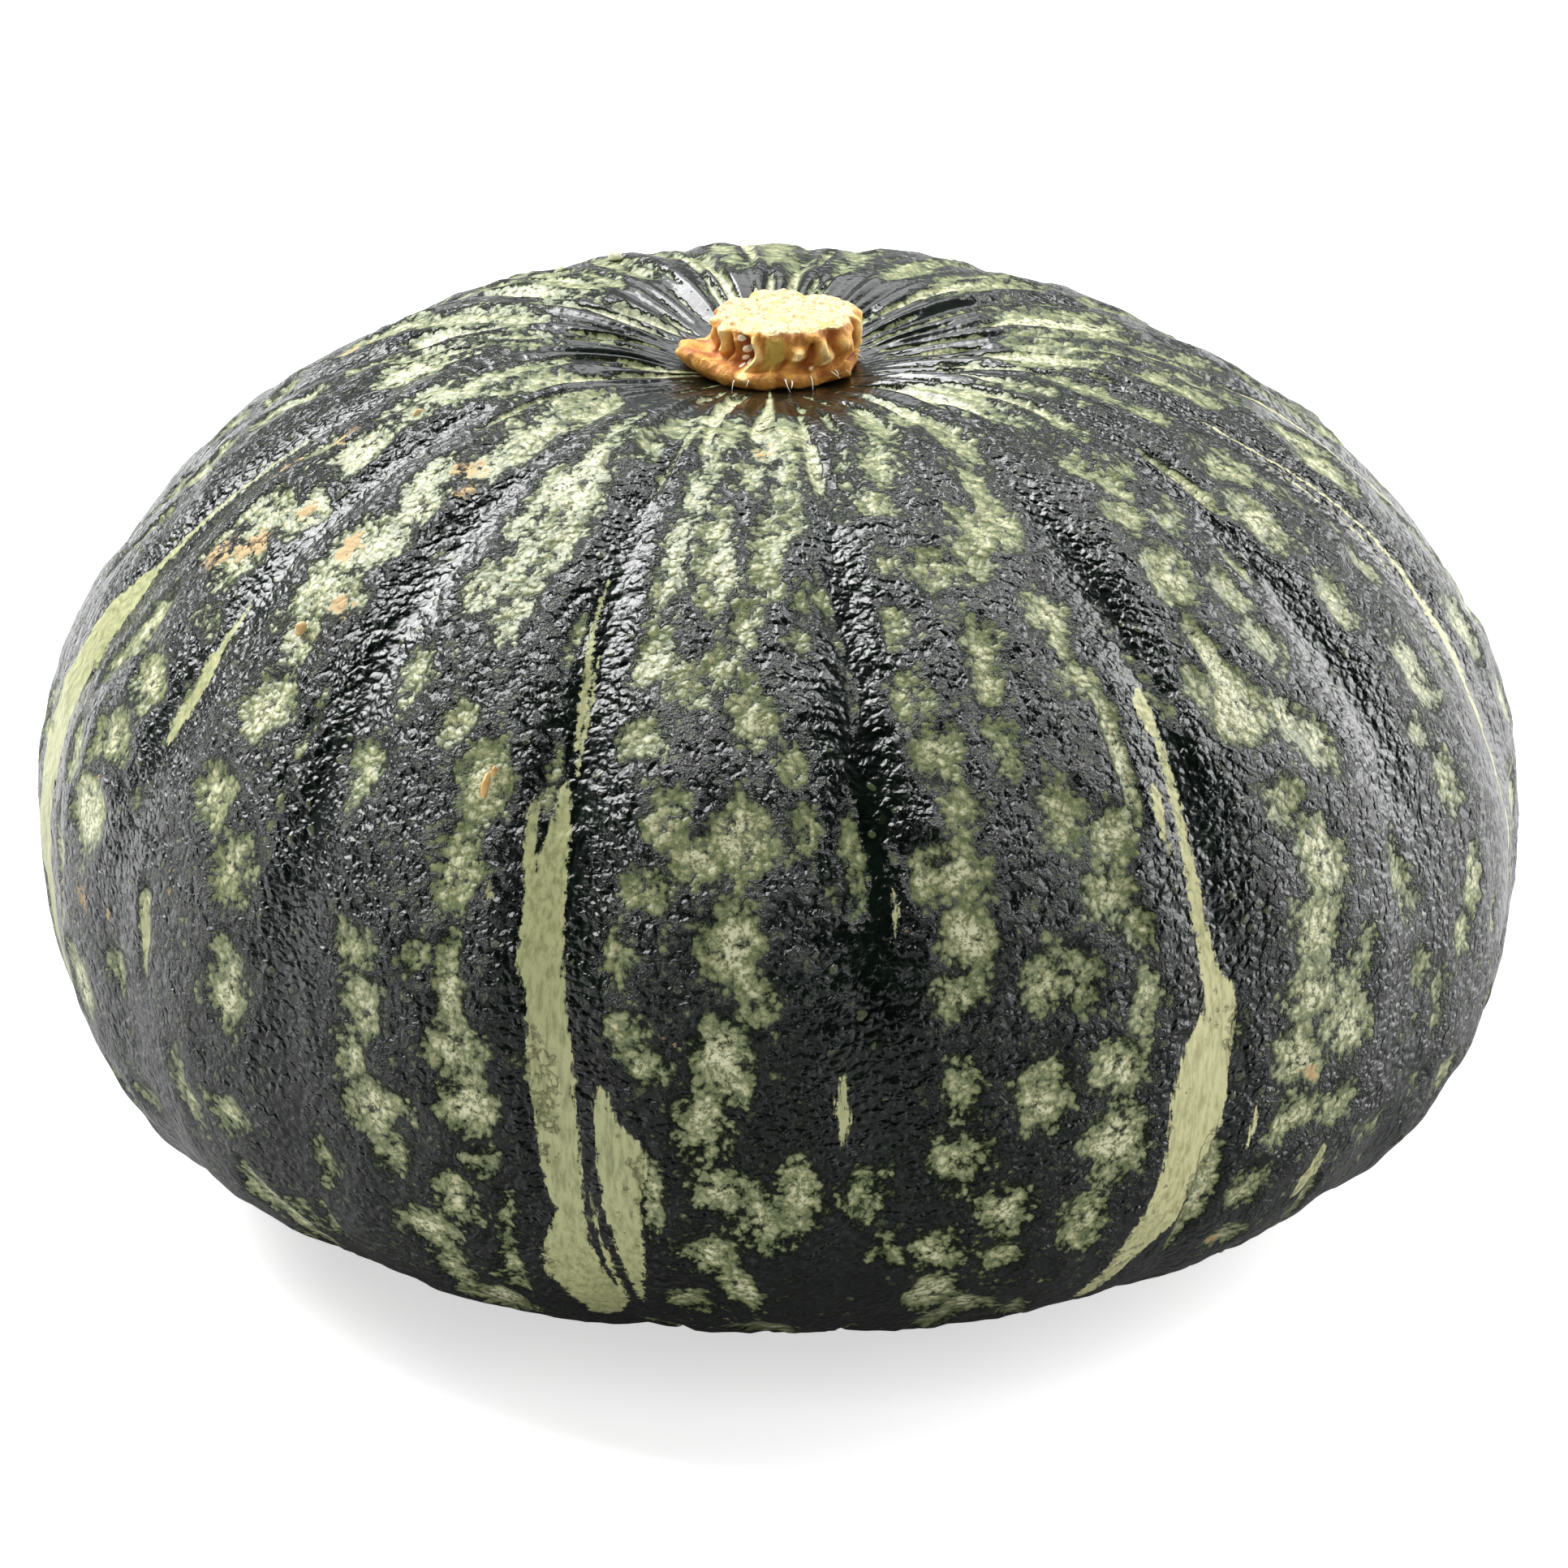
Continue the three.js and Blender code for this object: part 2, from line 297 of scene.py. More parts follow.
# Corky tan scars: bearing, arc, half width in degrees, half length in millimetres.
SCARS = [
    (-73, 57, 2.2, 2.0), (-69, 55.5, 1.6, 1.0), (-75, 64, 1.0, 3.0), (-66, 74, 1.8, 4.0),
    (-70, 78, 1.8, 3.0), (-64, 67, 1.4, 1.4), (-48, 51, 2.6, 2.0), (-45, 55, 0.9, 2.0),
    (-48, 75, 1.8, 2.0), (-53, 68, 2.0, 2.6), (-3, 36, 1.6, 2.0), (-14.5, 53, 0.7, 0.8),
    (-66.5, 124, 1.0, 2.2), (-62, 124, 0.8, 1.0), (-52.5, 114, 0.5, 0.8), (-8, 118, 0.5, 0.8),
    (43, 131, 0.9, 1.6), (38, 156, 0.8, 1.6), (-4, 162, 0.7, 1.0), (118, 62, 1.6, 2.4),
    (141, 96, 1.2, 1.6), (-152, 70, 2.0, 2.2), (-128, 120, 1.0, 1.6), (-108, 58, 1.4, 2.4),
]


# Pale stripes in three layers, so that neighbours in one layer stand well apart. Each stripe is
# a list of (arc, left bearing, right bearing) from the stem side to the base.
STRIPE_LAYERS = {
    "stripe_a": [
        [(60, -79.7, -79.0), (72, -79.6, -78.9), (86, -79.8, -78.6), (88, -81, -78), (95, -82.5, -77.9),
         (105, -83, -78.2), (113, -83.5, -78.6), (128, -83.4, -79.2), (140, -83, -80.2),
         (150, -82.2, -81)],
        [(80, -59.6, -59.0), (87, -59.9, -58.6), (89, -60.2, -57.6), (95, -60.2, -57.8),
         (99, -59.6, -58.6)],
        [(62, -20.3, -19.9), (70, -20.2, -19.4), (75, -19.6, -18.5), (80, -19.1, -18.1),
         (87, -18.4, -17.9)],
        [(88.8, -18.9, -18.2), (91, -19.0, -17.7), (95, -19.2, -17.1), (99, -19.8, -16.9),
         (105, -19.6, -16.6), (110, -19.6, -16.3), (115, -19.2, -15.7), (120, -18.9, -15.3),
         (125, -18.6, -15.1), (130, -18.4, -14.8), (135, -18.0, -14.6), (139, -17.6, -14.7),
         (142, -17.0, -14.7), (146, -18.2, -14.5), (150, -18.8, -14.1), (153, -19.2, -13.6),
         (156, -17.9, -13.0), (160, -17.3, -12.6), (165, -16.9, -14.2)],
        [(79.5, 34.2, 34.8), (81, 32.9, 34.8), (83, 32.8, 34.8), (86, 33.5, 34.5), (92, 33.2, 34.3),
         (100, 32.6, 33.9), (108, 32.4, 33.9), (114, 32.6, 34.3), (117, 32.7, 35.6), (120, 32.4, 35.9),
         (123, 31.0, 35.8), (128, 30.0, 35.5), (135, 29.8, 35.0), (139, 29.6, 34.4), (142, 29.2, 33.2),
         (147, 28.3, 32.8), (151, 27.6, 31.0), (156, 26.6, 29.2), (162, 25.8, 27.4)],
        [(52, 78.9, 79.3), (57, 79.1, 79.7), (66, 80.2, 80.8), (78, 79.9, 80.7), (86, 79.4, 80.4),
         (93, 78.3, 79.7), (100, 77.3, 78.4), (108, 76.6, 77.4), (115, 76.7, 77.3), (121, 77.6, 78.6),
         (127, 78.6, 79.2)],
        [(99.5, 8.3, 8.7), (103, 8.3, 8.9), (106.5, 8.3, 8.6)],
        [(46, 98, 98.8), (70, 97.8, 99.6), (84, 98.2, 99.4), (104, 99, 99.8)],
        [(74, 121, 122.4), (86, 120.2, 123), (104, 119.2, 123.8), (126, 118.6, 123.2), (150, 118, 121.5),
         (174, 118.4, 119.8)],
        [(96, 146.5, 147.6), (112, 146, 148.6), (136, 145.6, 149.4), (158, 146, 149), (170, 147, 148)],
        [(58, -144, -143.3), (78, -144.2, -142.4), (92, -143.8, -142.8), (100, -143.6, -143)],
        [(104, -167, -165.6), (118, -168, -164.8), (140, -167.6, -163.6), (160, -166.4, -163.2),
         (180, -165.4, -164.2)],
        [(82, -122, -121), (98, -122.8, -119.8), (122, -123.6, -118.8), (146, -123, -119.6),
         (164, -122, -120.6)],
    ],
    "stripe_b": [
        [(118, -56.6, -55.9), (122, -56.8, -55.3), (126, -56.8, -55.5), (128, -56.6, -56.0)],
        [(91.6, -20.8, -20.2), (93, -21.2, -19.9), (97, -20.9, -19.6), (103, -20.2, -18.6),
         (112, -19.9, -18.0)],
        [(124.6, -13.5, -12.8), (127, -13.8, -12.2), (129.5, -13.9, -11.6), (130.5, -13.8, -10.2),
         (134, -13.7, -9.6), (140, -13.3, -10.2), (146, -12.8, -10.2), (152, -12.3, -10.6),
         (159, -11.7, -11.2)],
        [(91.8, 31.3, 32.5), (95, 31.1, 32.3), (99.5, 31.3, 32.0)],
        [(121.8, 4.3, 4.8), (124.5, 3.9, 5.1), (128, 4.1, 5.2), (131, 4.4, 4.7)],
        [(143, 45.6, 46.4), (145.5, 45.0, 46.9), (148, 44.4, 46.6), (151, 44.4, 45.4)],
        [(60, 78.4, 78.7), (72, 78.6, 79.0), (84, 78.4, 78.8)],
    ],
    "stripe_c": [
        [(72, -18.7, -18.4), (78, -18.4, -17.8), (84, -18.2, -17.5), (88, -17.8, -17.5)],
        [(139, -14.4, -14.1), (146, -14.0, -13.4), (152, -13.6, -12.9), (159, -12.9, -12.5)],
        [(101, -23.0, -22.7), (103, -23.1, -22.4), (105.5, -22.8, -22.5)],
        [(132.5, 37.8, 38.1), (136, 37.4, 38.2), (139.5, 37.2, 37.5)],
    ],
}
OUTSIDE_STRIPE = -3.0
STRIPE_TIP = 1.3
STRIPE_MARGIN = 1.5


def stripe_layer(bearing, arc, outlines):
    """Where a point is against its nearest stripe of one layer, in degrees: its offset from the
    stripe's middle, and the stripe's half width there, or a negative one away from any stripe.
    The third number is how pale the stripes are, from green on the left to cream on the right, partly the
    stripes' own tone and partly painted shade on the left."""
    offset = np.zeros(bearing.shape)
    half = np.full(bearing.shape, OUTSIDE_STRIPE)
    for outline in outlines:
        arcs, left, right = np.array(outline, float).T
        tips = np.concatenate([[arcs[0] - STRIPE_TIP], arcs, [arcs[-1] + STRIPE_TIP]])
        widths = np.concatenate([[-0.5], (right - left) / 2, [-0.5]])
        from_middle = wrap(bearing - np.interp(arc, arcs, (left + right) / 2))
        width = np.interp(arc, tips, widths)
        near = np.abs(from_middle) < np.maximum(width, 0.0) + STRIPE_MARGIN
        near &= (arc > tips[0] - 2.0) & (arc < tips[-1] + 2.0)
        offset = np.where(near, from_middle, offset)
        half = np.where(near, width, half)
    # The third number darkens the stripes on the left: partly their own tone, partly painted shade.
    return np.stack([offset, half, 0.25 + 0.75 * smooth((bearing + 5.0) / 35.0)], axis=-1)


def outward(points):
    """Unit normals of a grid that closes on itself sideways, from the products of its slopes."""
    sideways = np.roll(points, -1, axis=1) - np.roll(points, 1, axis=1)
    down = np.gradient(points, axis=0)
    normal = np.cross(down, sideways)
    return normal / np.maximum(np.linalg.norm(normal, axis=-1, keepdims=True), 1e-9)


def closed_grid(name, points, fields):
    """A closed mesh from a grid of points in millimetres that wraps round sideways, with a fan at
    each end to the middle of its end row. Fields, of three numbers or one, are saved as attributes
    of the points."""
    rows, columns = points.shape[:2]
    top, bottom, last = rows * columns, rows * columns + 1, (rows - 1) * columns
    poles = [points[0].mean(axis=0), points[-1].mean(axis=0)]
    vertices = np.concatenate([points.reshape(-1, 3), poles]) * MILLIMETRE
    row = np.arange(rows - 1)[:, None] * columns
    column = np.arange(columns)[None, :]
    beside = (column + 1) % columns
    quads = np.stack([row + column, row + columns + column, row + columns + beside, row + beside], -1)
    column, beside = column[0], beside[0]
    top_fan = np.stack([np.full(columns, top), column, beside], -1)
    bottom_fan = np.stack([np.full(columns, bottom), last + beside, last + column], -1)
    corners = np.concatenate([faces.reshape(-1) for faces in (quads, top_fan, bottom_fan)])
    sizes = np.repeat([4, 3], [last, 2 * columns])
    mesh = bpy.data.meshes.new(name)
    mesh.vertices.add(len(vertices))
    mesh.vertices.foreach_set("co", vertices.reshape(-1))
    mesh.loops.add(len(corners))
    mesh.loops.foreach_set("vertex_index", corners.astype(np.int32))
    mesh.polygons.add(len(sizes))
    starts = np.concatenate([[0], np.cumsum(sizes)[:-1]])
    mesh.polygons.foreach_set("loop_start", starts.astype(np.int32))
    mesh.polygons.foreach_set("loop_total", sizes.astype(np.int32))
    mesh.update(calc_edges=True)
    mesh.validate()
    mesh.shade_smooth()
    for field_name, grid in fields.items():
        flat = grid.reshape(rows * columns, -1)
        flat = np.concatenate([flat, flat[:1], flat[-1:]]).reshape(-1).astype(np.float32)
        kind, key = ("FLOAT_VECTOR", "vector") if grid.ndim == 3 else ("FLOAT", "value")
        mesh.attributes.new(field_name, kind, "POINT").data.foreach_set(key, flat)
    return mesh


def place_piece(mesh, material, nodes=()):
    """Puts a finished mesh in the scene with its material, on the fruit's only body."""
    piece = bpy.data.objects.new(mesh.name, mesh)
    bpy.context.scene.collection.objects.link(piece)
    mesh.materials.append(material)
    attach(piece, "root")
    if nodes:
        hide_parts(*nodes)


# Lumps of the skin that are calmer in the grooves: height, size sideways, size downwards, seed.
LUMPS = [(0.55, 6.0, 8.0, 12), (0.45, 3.2, 4.4, 13)]
PATCH_GROWTH = 0.9
BARE_GROOVE = 3.0
STREAK_STRENGTH = 13.0
RIDGE_HEIGHT = 1.1
PATCH_HOLLOW = 0.55
POLE_GAP = 1.2


def rind_fields(bearing, arc, settings):
    """Everything known about points of the rind: their height over the plain skin, and the fields
    that the material reads. Ribs and grooves, broad lumps, fine ridges near the stem, and patches
    that lie a little lower than the dark skin round them. Patches are ovals away from the grooves,
    or streaks of noise drawn out along the skin near the stem."""
    widest, length = skin_size(settings)
    turn = np.radians(bearing)
    drum = np.stack([widest * np.sin(turn), -widest * np.cos(turn), arc], axis=-1)
    place = skin_point(bearing, arc, widest)
    ribs, groove = rib_fields(bearing, arc, length, settings.groove_depth)
    patch = patch_field(bearing, arc, drum, FRONT_PATCHES + scattered_patches(length), widest)
    patch = patch + PATCH_GROWTH - BARE_GROOVE * groove * smooth((arc - 34.0) / 10.0)
    patch -= 4.0 * (1.0 - smooth((arc - 20.0) / 12.0))
    streaks = STREAK_STRENGTH * lattice_noise(drum / [6.0, 6.0, 18.0], 15) - 2.5
    streaks -= 4.0 * (1.0 - smooth((arc - 12.5) / 3.0)) + 4.0 * smooth((arc - 36.0) / 14.0)
    patch = np.maximum(patch, streaks)
    lumps = 0.9 * lattice_noise(place / [15.0, 15.0, 24.0], 11)
    rough = (1.0 - 0.6 * groove) * (0.1 + 0.9 * smooth((arc - 28.0) / 26.0))
    for height, across, along, seed in LUMPS:
        lumps += height * lattice_noise(place / [across, across, along], seed) * rough
    near_stem = smooth((arc - 11.0) / 8.0) * (1.0 - smooth((arc - 38.0) / 22.0))
    ridges = RIDGE_HEIGHT * lattice_noise(drum / [6.5, 6.5, 70.0], 14) * near_stem
    hollows = PATCH_HOLLOW * smooth((patch + 0.6) / 2.0)
    calm = smooth((arc - 10.0) / 8.0) * smooth((length - 32.0 - arc) / 18.0)
    relief = ribs + (settings.lump_height / MILLIMETRE * (lumps + ridges) - hollows) * calm
    groove = np.maximum(groove, 1.3 * (1.0 - smooth((arc - 24.0) / 26.0)))
    blossom_scar = BLOSSOM_DENT_RADIUS - 2.5 - (length - arc)
    scar = np.maximum(depth_inside(bearing, arc, SCARS, widest) - 0.4, blossom_scar)
    return relief, {"place": place, "patch": patch, "groove": groove, "scar": scar}


def rind_surface(bearing, arc, settings):
    """Points of the plain skin, moved by the ribs and grooves only, away from the middle."""
    widest, length = skin_size(settings)
    ribs, _ = rib_fields(bearing, arc, length, settings.groove_depth)
    points = skin_point(bearing, arc, widest)
    away = points - [0.0, 0.0, RESTING_DROP]
    return points + ribs[..., None] * away / np.linalg.norm(away, axis=-1, keepdims=True)


def rind_mesh(settings):
    """The fruit's skin on a grid of bearing by arc, with its relief laid along the normal of the
    plain skin."""
    widest, length = skin_size(settings)
    arc = np.linspace(POLE_GAP, length - POLE_GAP, RIND_ROWS)[:, None] + np.zeros((1, RIND_COLUMNS))
    bearing = wrap(np.arange(RIND_COLUMNS) * 360.0 / RIND_COLUMNS)[None, :] + np.zeros((RIND_ROWS, 1))
    relief, fields = rind_fields(bearing, arc, settings)
    points = skin_point(bearing, arc, widest)
    points = points + relief[..., None] * outward(points)
    points[..., 2] = np.maximum(points[..., 2], 0.0)
    for name, outlines in STRIPE_LAYERS.items():
        fields[name] = stripe_layer(bearing, arc, outlines)
    return closed_grid("squash_rind", points, fields)


# ---- Shader building blocks -------------------------------------------------------------------


class Nodes:
    """Short ways to add nodes to one tree and to join them."""

    def __init__(self, tree):
        self.tree = tree

    def add(self, kind, inputs=None, **settings):
        """A new node, with its settings and what its named inputs are fed."""
        node = self.tree.nodes.new(kind)
        for key, value in settings.items():
            setattr(node, key, value)
        for key, value in (inputs or {}).items():
            self.feed(node.inputs[key], value)
        return node

    def feed(self, socket, value):
        """Links another node's output to a socket, or sets its value."""
        if isinstance(value, bpy.types.NodeSocket):
            self.tree.links.new(value, socket)
        else:
            socket.default_value = value

    def math(self, operation, *values):
        """A sum or other operation on up to three numbers."""
        node = self.add("ShaderNodeMath", operation=operation)
        for socket, value in zip(node.inputs, values):
            self.feed(socket, value)
        return node.outputs[0]

    def times(self, first, second):
        """One number times another."""
        return self.math("MULTIPLY", first, second)

    def largest(self, first, second):
        """The larger of two numbers."""
        return self.math("MAXIMUM", first, second)

    def scaled(self, value, factor, plus):
        """The value times a factor, plus a third number."""
        return self.math("MULTIPLY_ADD", value, factor, plus)

    def step(self, value, low, high):
        """0 below low, 1 above high and an S-shaped rise between."""
        inputs = {"Value": value, "From Min": low, "From Max": high}
        return self.add("ShaderNodeMapRange", inputs, interpolation_type="SMOOTHSTEP").outputs["Result"]

    def mix(self, factor, first, second):
        """From the first colour to the second as the factor goes from 0 to 1."""
        node = self.add("ShaderNodeMix", data_type="RGBA")
        self.feed(node.inputs[0], factor)
        for index, colour in ((6, first), (7, second)):
            linked = isinstance(colour, bpy.types.NodeSocket)
            self.feed(node.inputs[index], colour if linked else (*colour, 1.0))
        return node.outputs[2]

    def blend(self, factor, first, second):
        """From the first number to the second as the factor goes from 0 to 1."""
        node = self.add("ShaderNodeMix", data_type="FLOAT")
        for index, value in ((0, factor), (2, first), (3, second)):
            self.feed(node.inputs[index], value)
        return node.outputs[0]

    def stretch(self, vector, along):
        """The vector with each axis times a number."""
        node = self.add("ShaderNodeVectorMath", operation="MULTIPLY")
        self.feed(node.inputs[0], vector)
        node.inputs[1].default_value = along
        return node.outputs[0]

    def noise(self, vector, scale, detail, roughness):
        """Random clouds of 0 to 1."""
        inputs = {"Vector": vector, "Scale": scale, "Detail": detail, "Roughness": roughness}
        return self.add("ShaderNodeTexNoise", inputs).outputs["Fac"]

    def attribute(self, name, output="Fac"):
        """A field that was saved on the mesh's points."""
        return self.add("ShaderNodeAttribute", attribute_name=name).outputs[output]

    def group(self, tree, **inputs):
        """A shader group in this tree, with what its inputs are fed."""
        node = self.add("ShaderNodeGroup", node_tree=tree)
        for key, value in inputs.items():
            self.feed(node.inputs[key], value)
        return node.outputs

    def lift(self, surface, height):
        """Makes a height in millimetres the relief of the shader."""
        bump = self.add("ShaderNodeBump", {"Height": height, "Strength": 1.0, "Distance": MILLIMETRE})
        self.feed(surface.inputs["Normal"], bump.outputs["Normal"])


def new_group(name, inputs, outputs):
    """An empty shader group whose named sockets are numbers, or a vector for an input called Place."""
    tree = bpy.data.node_groups.new(name, "ShaderNodeTree")
    for direction, names in (("INPUT", inputs), ("OUTPUT", outputs)):
        for socket in names:
            kind = "NodeSocketVector" if socket == "Place" else "NodeSocketFloat"
            tree.interface.new_socket(socket, in_out=direction, socket_type=kind)
    nodes = Nodes(tree)
    return tree, nodes, nodes.add("NodeGroupInput").outputs, nodes.add("NodeGroupOutput").inputs


def new_material(name):
    """A material with its nodes, and the shader that it ends in."""
    material = bpy.data.materials.new(name)
    material.use_nodes = True
    return material, Nodes(material.node_tree), material.node_tree.nodes["Principled BSDF"]


# How strongly each field of the pebbled relief roughens an edge, and what brings their sum to 0.
EDGE_WEIGHTS = {"Blots": 4.6, "Net": 3.6, "Crown": 1.1, "Chance": 1.0}
EDGE_BALANCE = -5.2


def ragged_edge_group():
    """Turns a soft field into a granular mask: broad blots, a fine net, and the pebbles' own crowns
    and random values are added to the field before a narrow step. Depth is the roughened field."""
    tree, nodes, given, out = new_group(
        "Ragged edge", ["Field", *EDGE_WEIGHTS, "Softness"], ["Mask", "Depth"])
    rough = EDGE_BALANCE
    for name, weight in EDGE_WEIGHTS.items():
        rough = nodes.scaled(given[name], weight, rough)
    shallow = nodes.math("ADD", nodes.math("MINIMUM", given["Field"], 1.3), rough)
    softness = given["Softness"]
    nodes.feed(out["Mask"], nodes.step(shallow, nodes.times(softness, -1.0), softness))
    nodes.feed(out["Depth"], nodes.math("ADD", given["Field"], rough))
    return tree


def pebble_group():
    """Fine pebbled relief: cells bent into short worms by noise, with grit and a fine net on top.
    Puts out their height, the roundness of each cell, one random number a cell, and both noises."""
    tree, nodes, given, out = new_group(
        "Pebbled relief", ["Place"], ["Relief", "Crown", "Chance", "Blots", "Net"])
    place = given["Place"]
    grit = nodes.add(
        "ShaderNodeTexNoise", {"Vector": place, "Scale": 0.42, "Detail": 2.0, "Roughness": 0.6})
    warp = nodes.add("ShaderNodeVectorMath", operation="MULTIPLY_ADD")
    for socket, value in zip(warp.inputs, (grit.outputs["Color"], (1.8, 1.8, 1.8), place)):
        nodes.feed(socket, value)
    cell = nodes.add("ShaderNodeTexVoronoi", {"Vector": warp.outputs[0], "Scale": 0.85})
    crown = nodes.math("SUBTRACT", 1.0, nodes.step(cell.outputs["Distance"], 0.12, 0.75))
    net = nodes.noise(place, 1.7, 3.0, 0.72)
    relief = nodes.scaled(net, 0.6, nodes.scaled(grit.outputs["Fac"], 4.4, nodes.times(crown, 1.1)))
    chance = cell.outputs["Color"]
    for socket, value in zip(out, (relief, crown, chance, grit.outputs["Fac"], net)):
        nodes.feed(socket, value)
    return tree


def stripe_mask(nodes, wobble):
    """1 inside any pale stripe: its half width less the distance from its middle, with the edges nibbled
    by noise. Also gives how pale the stripes are there, partly their own tone and partly painted shade."""
    deepest = OUTSIDE_STRIPE
    for layer in STRIPE_LAYERS:
        parts = nodes.add("ShaderNodeSeparateXYZ", {"Vector": nodes.attribute(layer, "Vector")}).outputs
        inside = nodes.math("SUBTRACT", parts["Y"], nodes.math("ABSOLUTE", parts["X"]))
        deepest = nodes.largest(deepest, inside)
    return nodes.step(nodes.math("ADD", deepest, wobble), -0.06, 0.12), parts["Z"]


LIT_SKIN = (0.002, 0.005, 0.0028)
DOT_GREEN = (0.06, 0.075, 0.035)
DEEP_OLIVE = (0.05, 0.075, 0.02)
PALE_SAGE = (0.46, 0.46, 0.30)
# Greener stripe colours for the left-hand stripes, partly their own tone and partly painted shade.
GREEN_SHADED_STRIPE = (0.25, 0.26, 0.12)
GREEN_SHADED_STRIPE_GRAIN = (0.13, 0.15, 0.055)
PALE_STRIPE_GRAIN = (0.25, 0.25, 0.11)
SCAR_TAN = (0.34, 0.24, 0.11)


def rind_material(settings):
    """Dark waxy rind with pale dots, sage patches, pale stripes and corky scars, over a fine
    pebbled relief that is calmer in the grooves and on the stripes and patches."""
    material, nodes, surface = new_material("squash rind")
    place = nodes.attribute("place", "Vector")
    groove = nodes.attribute("groove")
    pebbles = nodes.group(pebble_group(), Place=place)
    grain = nodes.noise(nodes.stretch(place, (1.0, 1.0, 0.2)), 1.5, 3.0, 0.65)
    nibble = nodes.scaled(pebbles["Net"], 0.9, nodes.scaled(grain, 1.5, -1.28))
    stripe, paleness_and_shade = stripe_mask(nodes, nibble)
    edge_group = ragged_edge_group()
    spread = {name: pebbles[name] for name in EDGE_WEIGHTS}
    patch = nodes.group(edge_group, Field=nodes.attribute("patch"), Softness=0.5, **spread)
    crust = nodes.group(edge_group, Field=nodes.attribute("scar"), Softness=0.1, **spread)
    # Dark skin with pale dots.
    shade = nodes.noise(place, 0.16, 2.0, 0.6)
    skin = nodes.mix(nodes.step(shade, 0.35, 0.7), settings.skin_colour, LIT_SKIN)
    dot = nodes.times(nodes.step(pebbles["Chance"], 0.84, 0.87), nodes.step(pebbles["Crown"], 0.3, 0.55))
    skin = nodes.mix(nodes.times(dot, 0.75), skin, DOT_GREEN)
    # Patches: olive rims, sage within and pale flecks in the deepest places.
    fine = nodes.noise(place, 2.2, 3.0, 0.75)
    flecks = nodes.step(nodes.scaled(pebbles["Crown"], 0.12, fine), 0.45, 0.62)
    tone = nodes.times(nodes.step(patch["Depth"], -0.5, 3.0), nodes.scaled(flecks, 0.72, 0.28))
    olive = nodes.mix(tone, DEEP_OLIVE, settings.patch_colour)
    sage = nodes.mix(nodes.times(nodes.step(patch["Depth"], 1.8, 3.6), flecks), olive, PALE_SAGE)
    colour = nodes.mix(patch["Mask"], skin, sage)
    # Stripes with a darker grain along them, greener and darker on the left partly with painted shade,
    # then scars.
    pale = nodes.mix(paleness_and_shade, GREEN_SHADED_STRIPE, settings.stripe_colour)
    shaded = nodes.mix(paleness_and_shade, GREEN_SHADED_STRIPE_GRAIN, PALE_STRIPE_GRAIN)
    colour = nodes.mix(stripe, colour, nodes.mix(nodes.step(grain, 0.3, 0.62), shaded, pale))
    nodes.feed(surface.inputs["Base Color"], nodes.mix(crust["Mask"], colour, SCAR_TAN))
    # Gloss.
    dull = nodes.largest(stripe, nodes.times(patch["Mask"], 0.9))
    roughness = nodes.blend(dull, nodes.blend(pebbles["Net"], 0.1, 0.27), 0.45)
    nodes.feed(surface.inputs["Roughness"], nodes.blend(crust["Mask"], roughness, 0.75))
    surface.inputs["IOR"].default_value = 1.5
    # Relief.
    calm = nodes.largest(nodes.times(stripe, 0.88), nodes.times(groove, 0.72))
    calm = nodes.largest(calm, nodes.times(patch["Mask"], 0.65))
    height = nodes.times(pebbles["Relief"], nodes.math("SUBTRACT", 1.0, calm))
    height = nodes.scaled(nodes.step(patch["Depth"], -1.0, 0.4), -1.5, height)
    nodes.lift(surface, nodes.times(height, settings.pebble_height / MILLIMETRE))
    return material


# ---- The stem stub: its middle and its two levels come from the CAD node ----------------------

STEM_COLUMNS = 360
STEM_ROWS = 170

# The stub's outline from the middle of the cut face, over its edge, down the side and round the
# rolled foot: how far along, radius and height.
STEM_OUTLINE = [
    (0.0, 0.3, 6.15), (0.26, 7.6, 6.15), (0.31, 8.4, 6.0), (0.35, 8.75, 5.5), (0.50, 8.9, 3.9),
    (0.64, 8.9, 2.2), (0.70, 9.0, 1.4), (0.75, 9.4, 1.25), (0.81, 9.95, 1.2), (0.86, 10.25, 0.75),
    (0.90, 10.3, 0.2), (0.95, 10.0, -0.5), (1.0, 9.0, -1.0),
]
# Folds and hollows down the side: bearing, half width in degrees, height out, lowest and highest
# level.
STEM_FOLDS = [
    (-22, 3.4, 1.2, 0.2, 5.2), (-31, 6.0, -1.3, 1.4, 5.4), (-42, 3.0, 0.4, 2.0, 5.0),
    (-46, 3.0, -0.6, 1.4, 4.6), (-55, 6.0, 1.2, 2.6, 6.0), (-63, 5.0, -0.8, 1.0, 4.6),
    (-78, 7.0, 0.6, 2.8, 6.0), (-96, 6.0, -0.7, 1.2, 5.0), (-112, 6.0, 0.7, 1.0, 5.8),
    (3, 4.0, -0.6, 1.2, 3.6), (9, 7.0, 1.4, 2.6, 4.2), (24, 3.5, -1.2, 1.3, 4.4),
    (35, 4.5, 1.1, 1.4, 4.8), (45, 3.5, -0.5, 2.0, 5.4), (57, 5.5, 0.6, 1.0, 5.2),
    (69, 3.5, -1.2, 1.2, 5.0), (79, 4.5, 1.0, 1.0, 5.6), (92, 5.0, -0.8, 1.5, 5.0),
    (106, 6.0, 0.8, 1.0, 5.6), (125, 7.0, -0.6, 1.5, 5.2), (146, 8.0, 0.7, 1.0, 5.6),
    (158, 4.5, -1.3, 2.2, 6.2), (176, 9.0, 0.6, 1.0, 5.6), (-160, 6.0, -0.6, 1.4, 5.0),
    (-140, 8.0, 0.7, 1.0, 5.6), (-125, 4.0, -0.6, 1.4, 5.0),
]
# Pale beads of dried sap: bearing, level, radius.
STEM_BEADS = [
    (-38, 5.0, 0.45), (-33, 3.7, 0.5), (-34, 2.6, 0.38), (-29, 2.2, 0.3), (-32, 1.7, 0.25), (27, 1.5, 0.2),
]
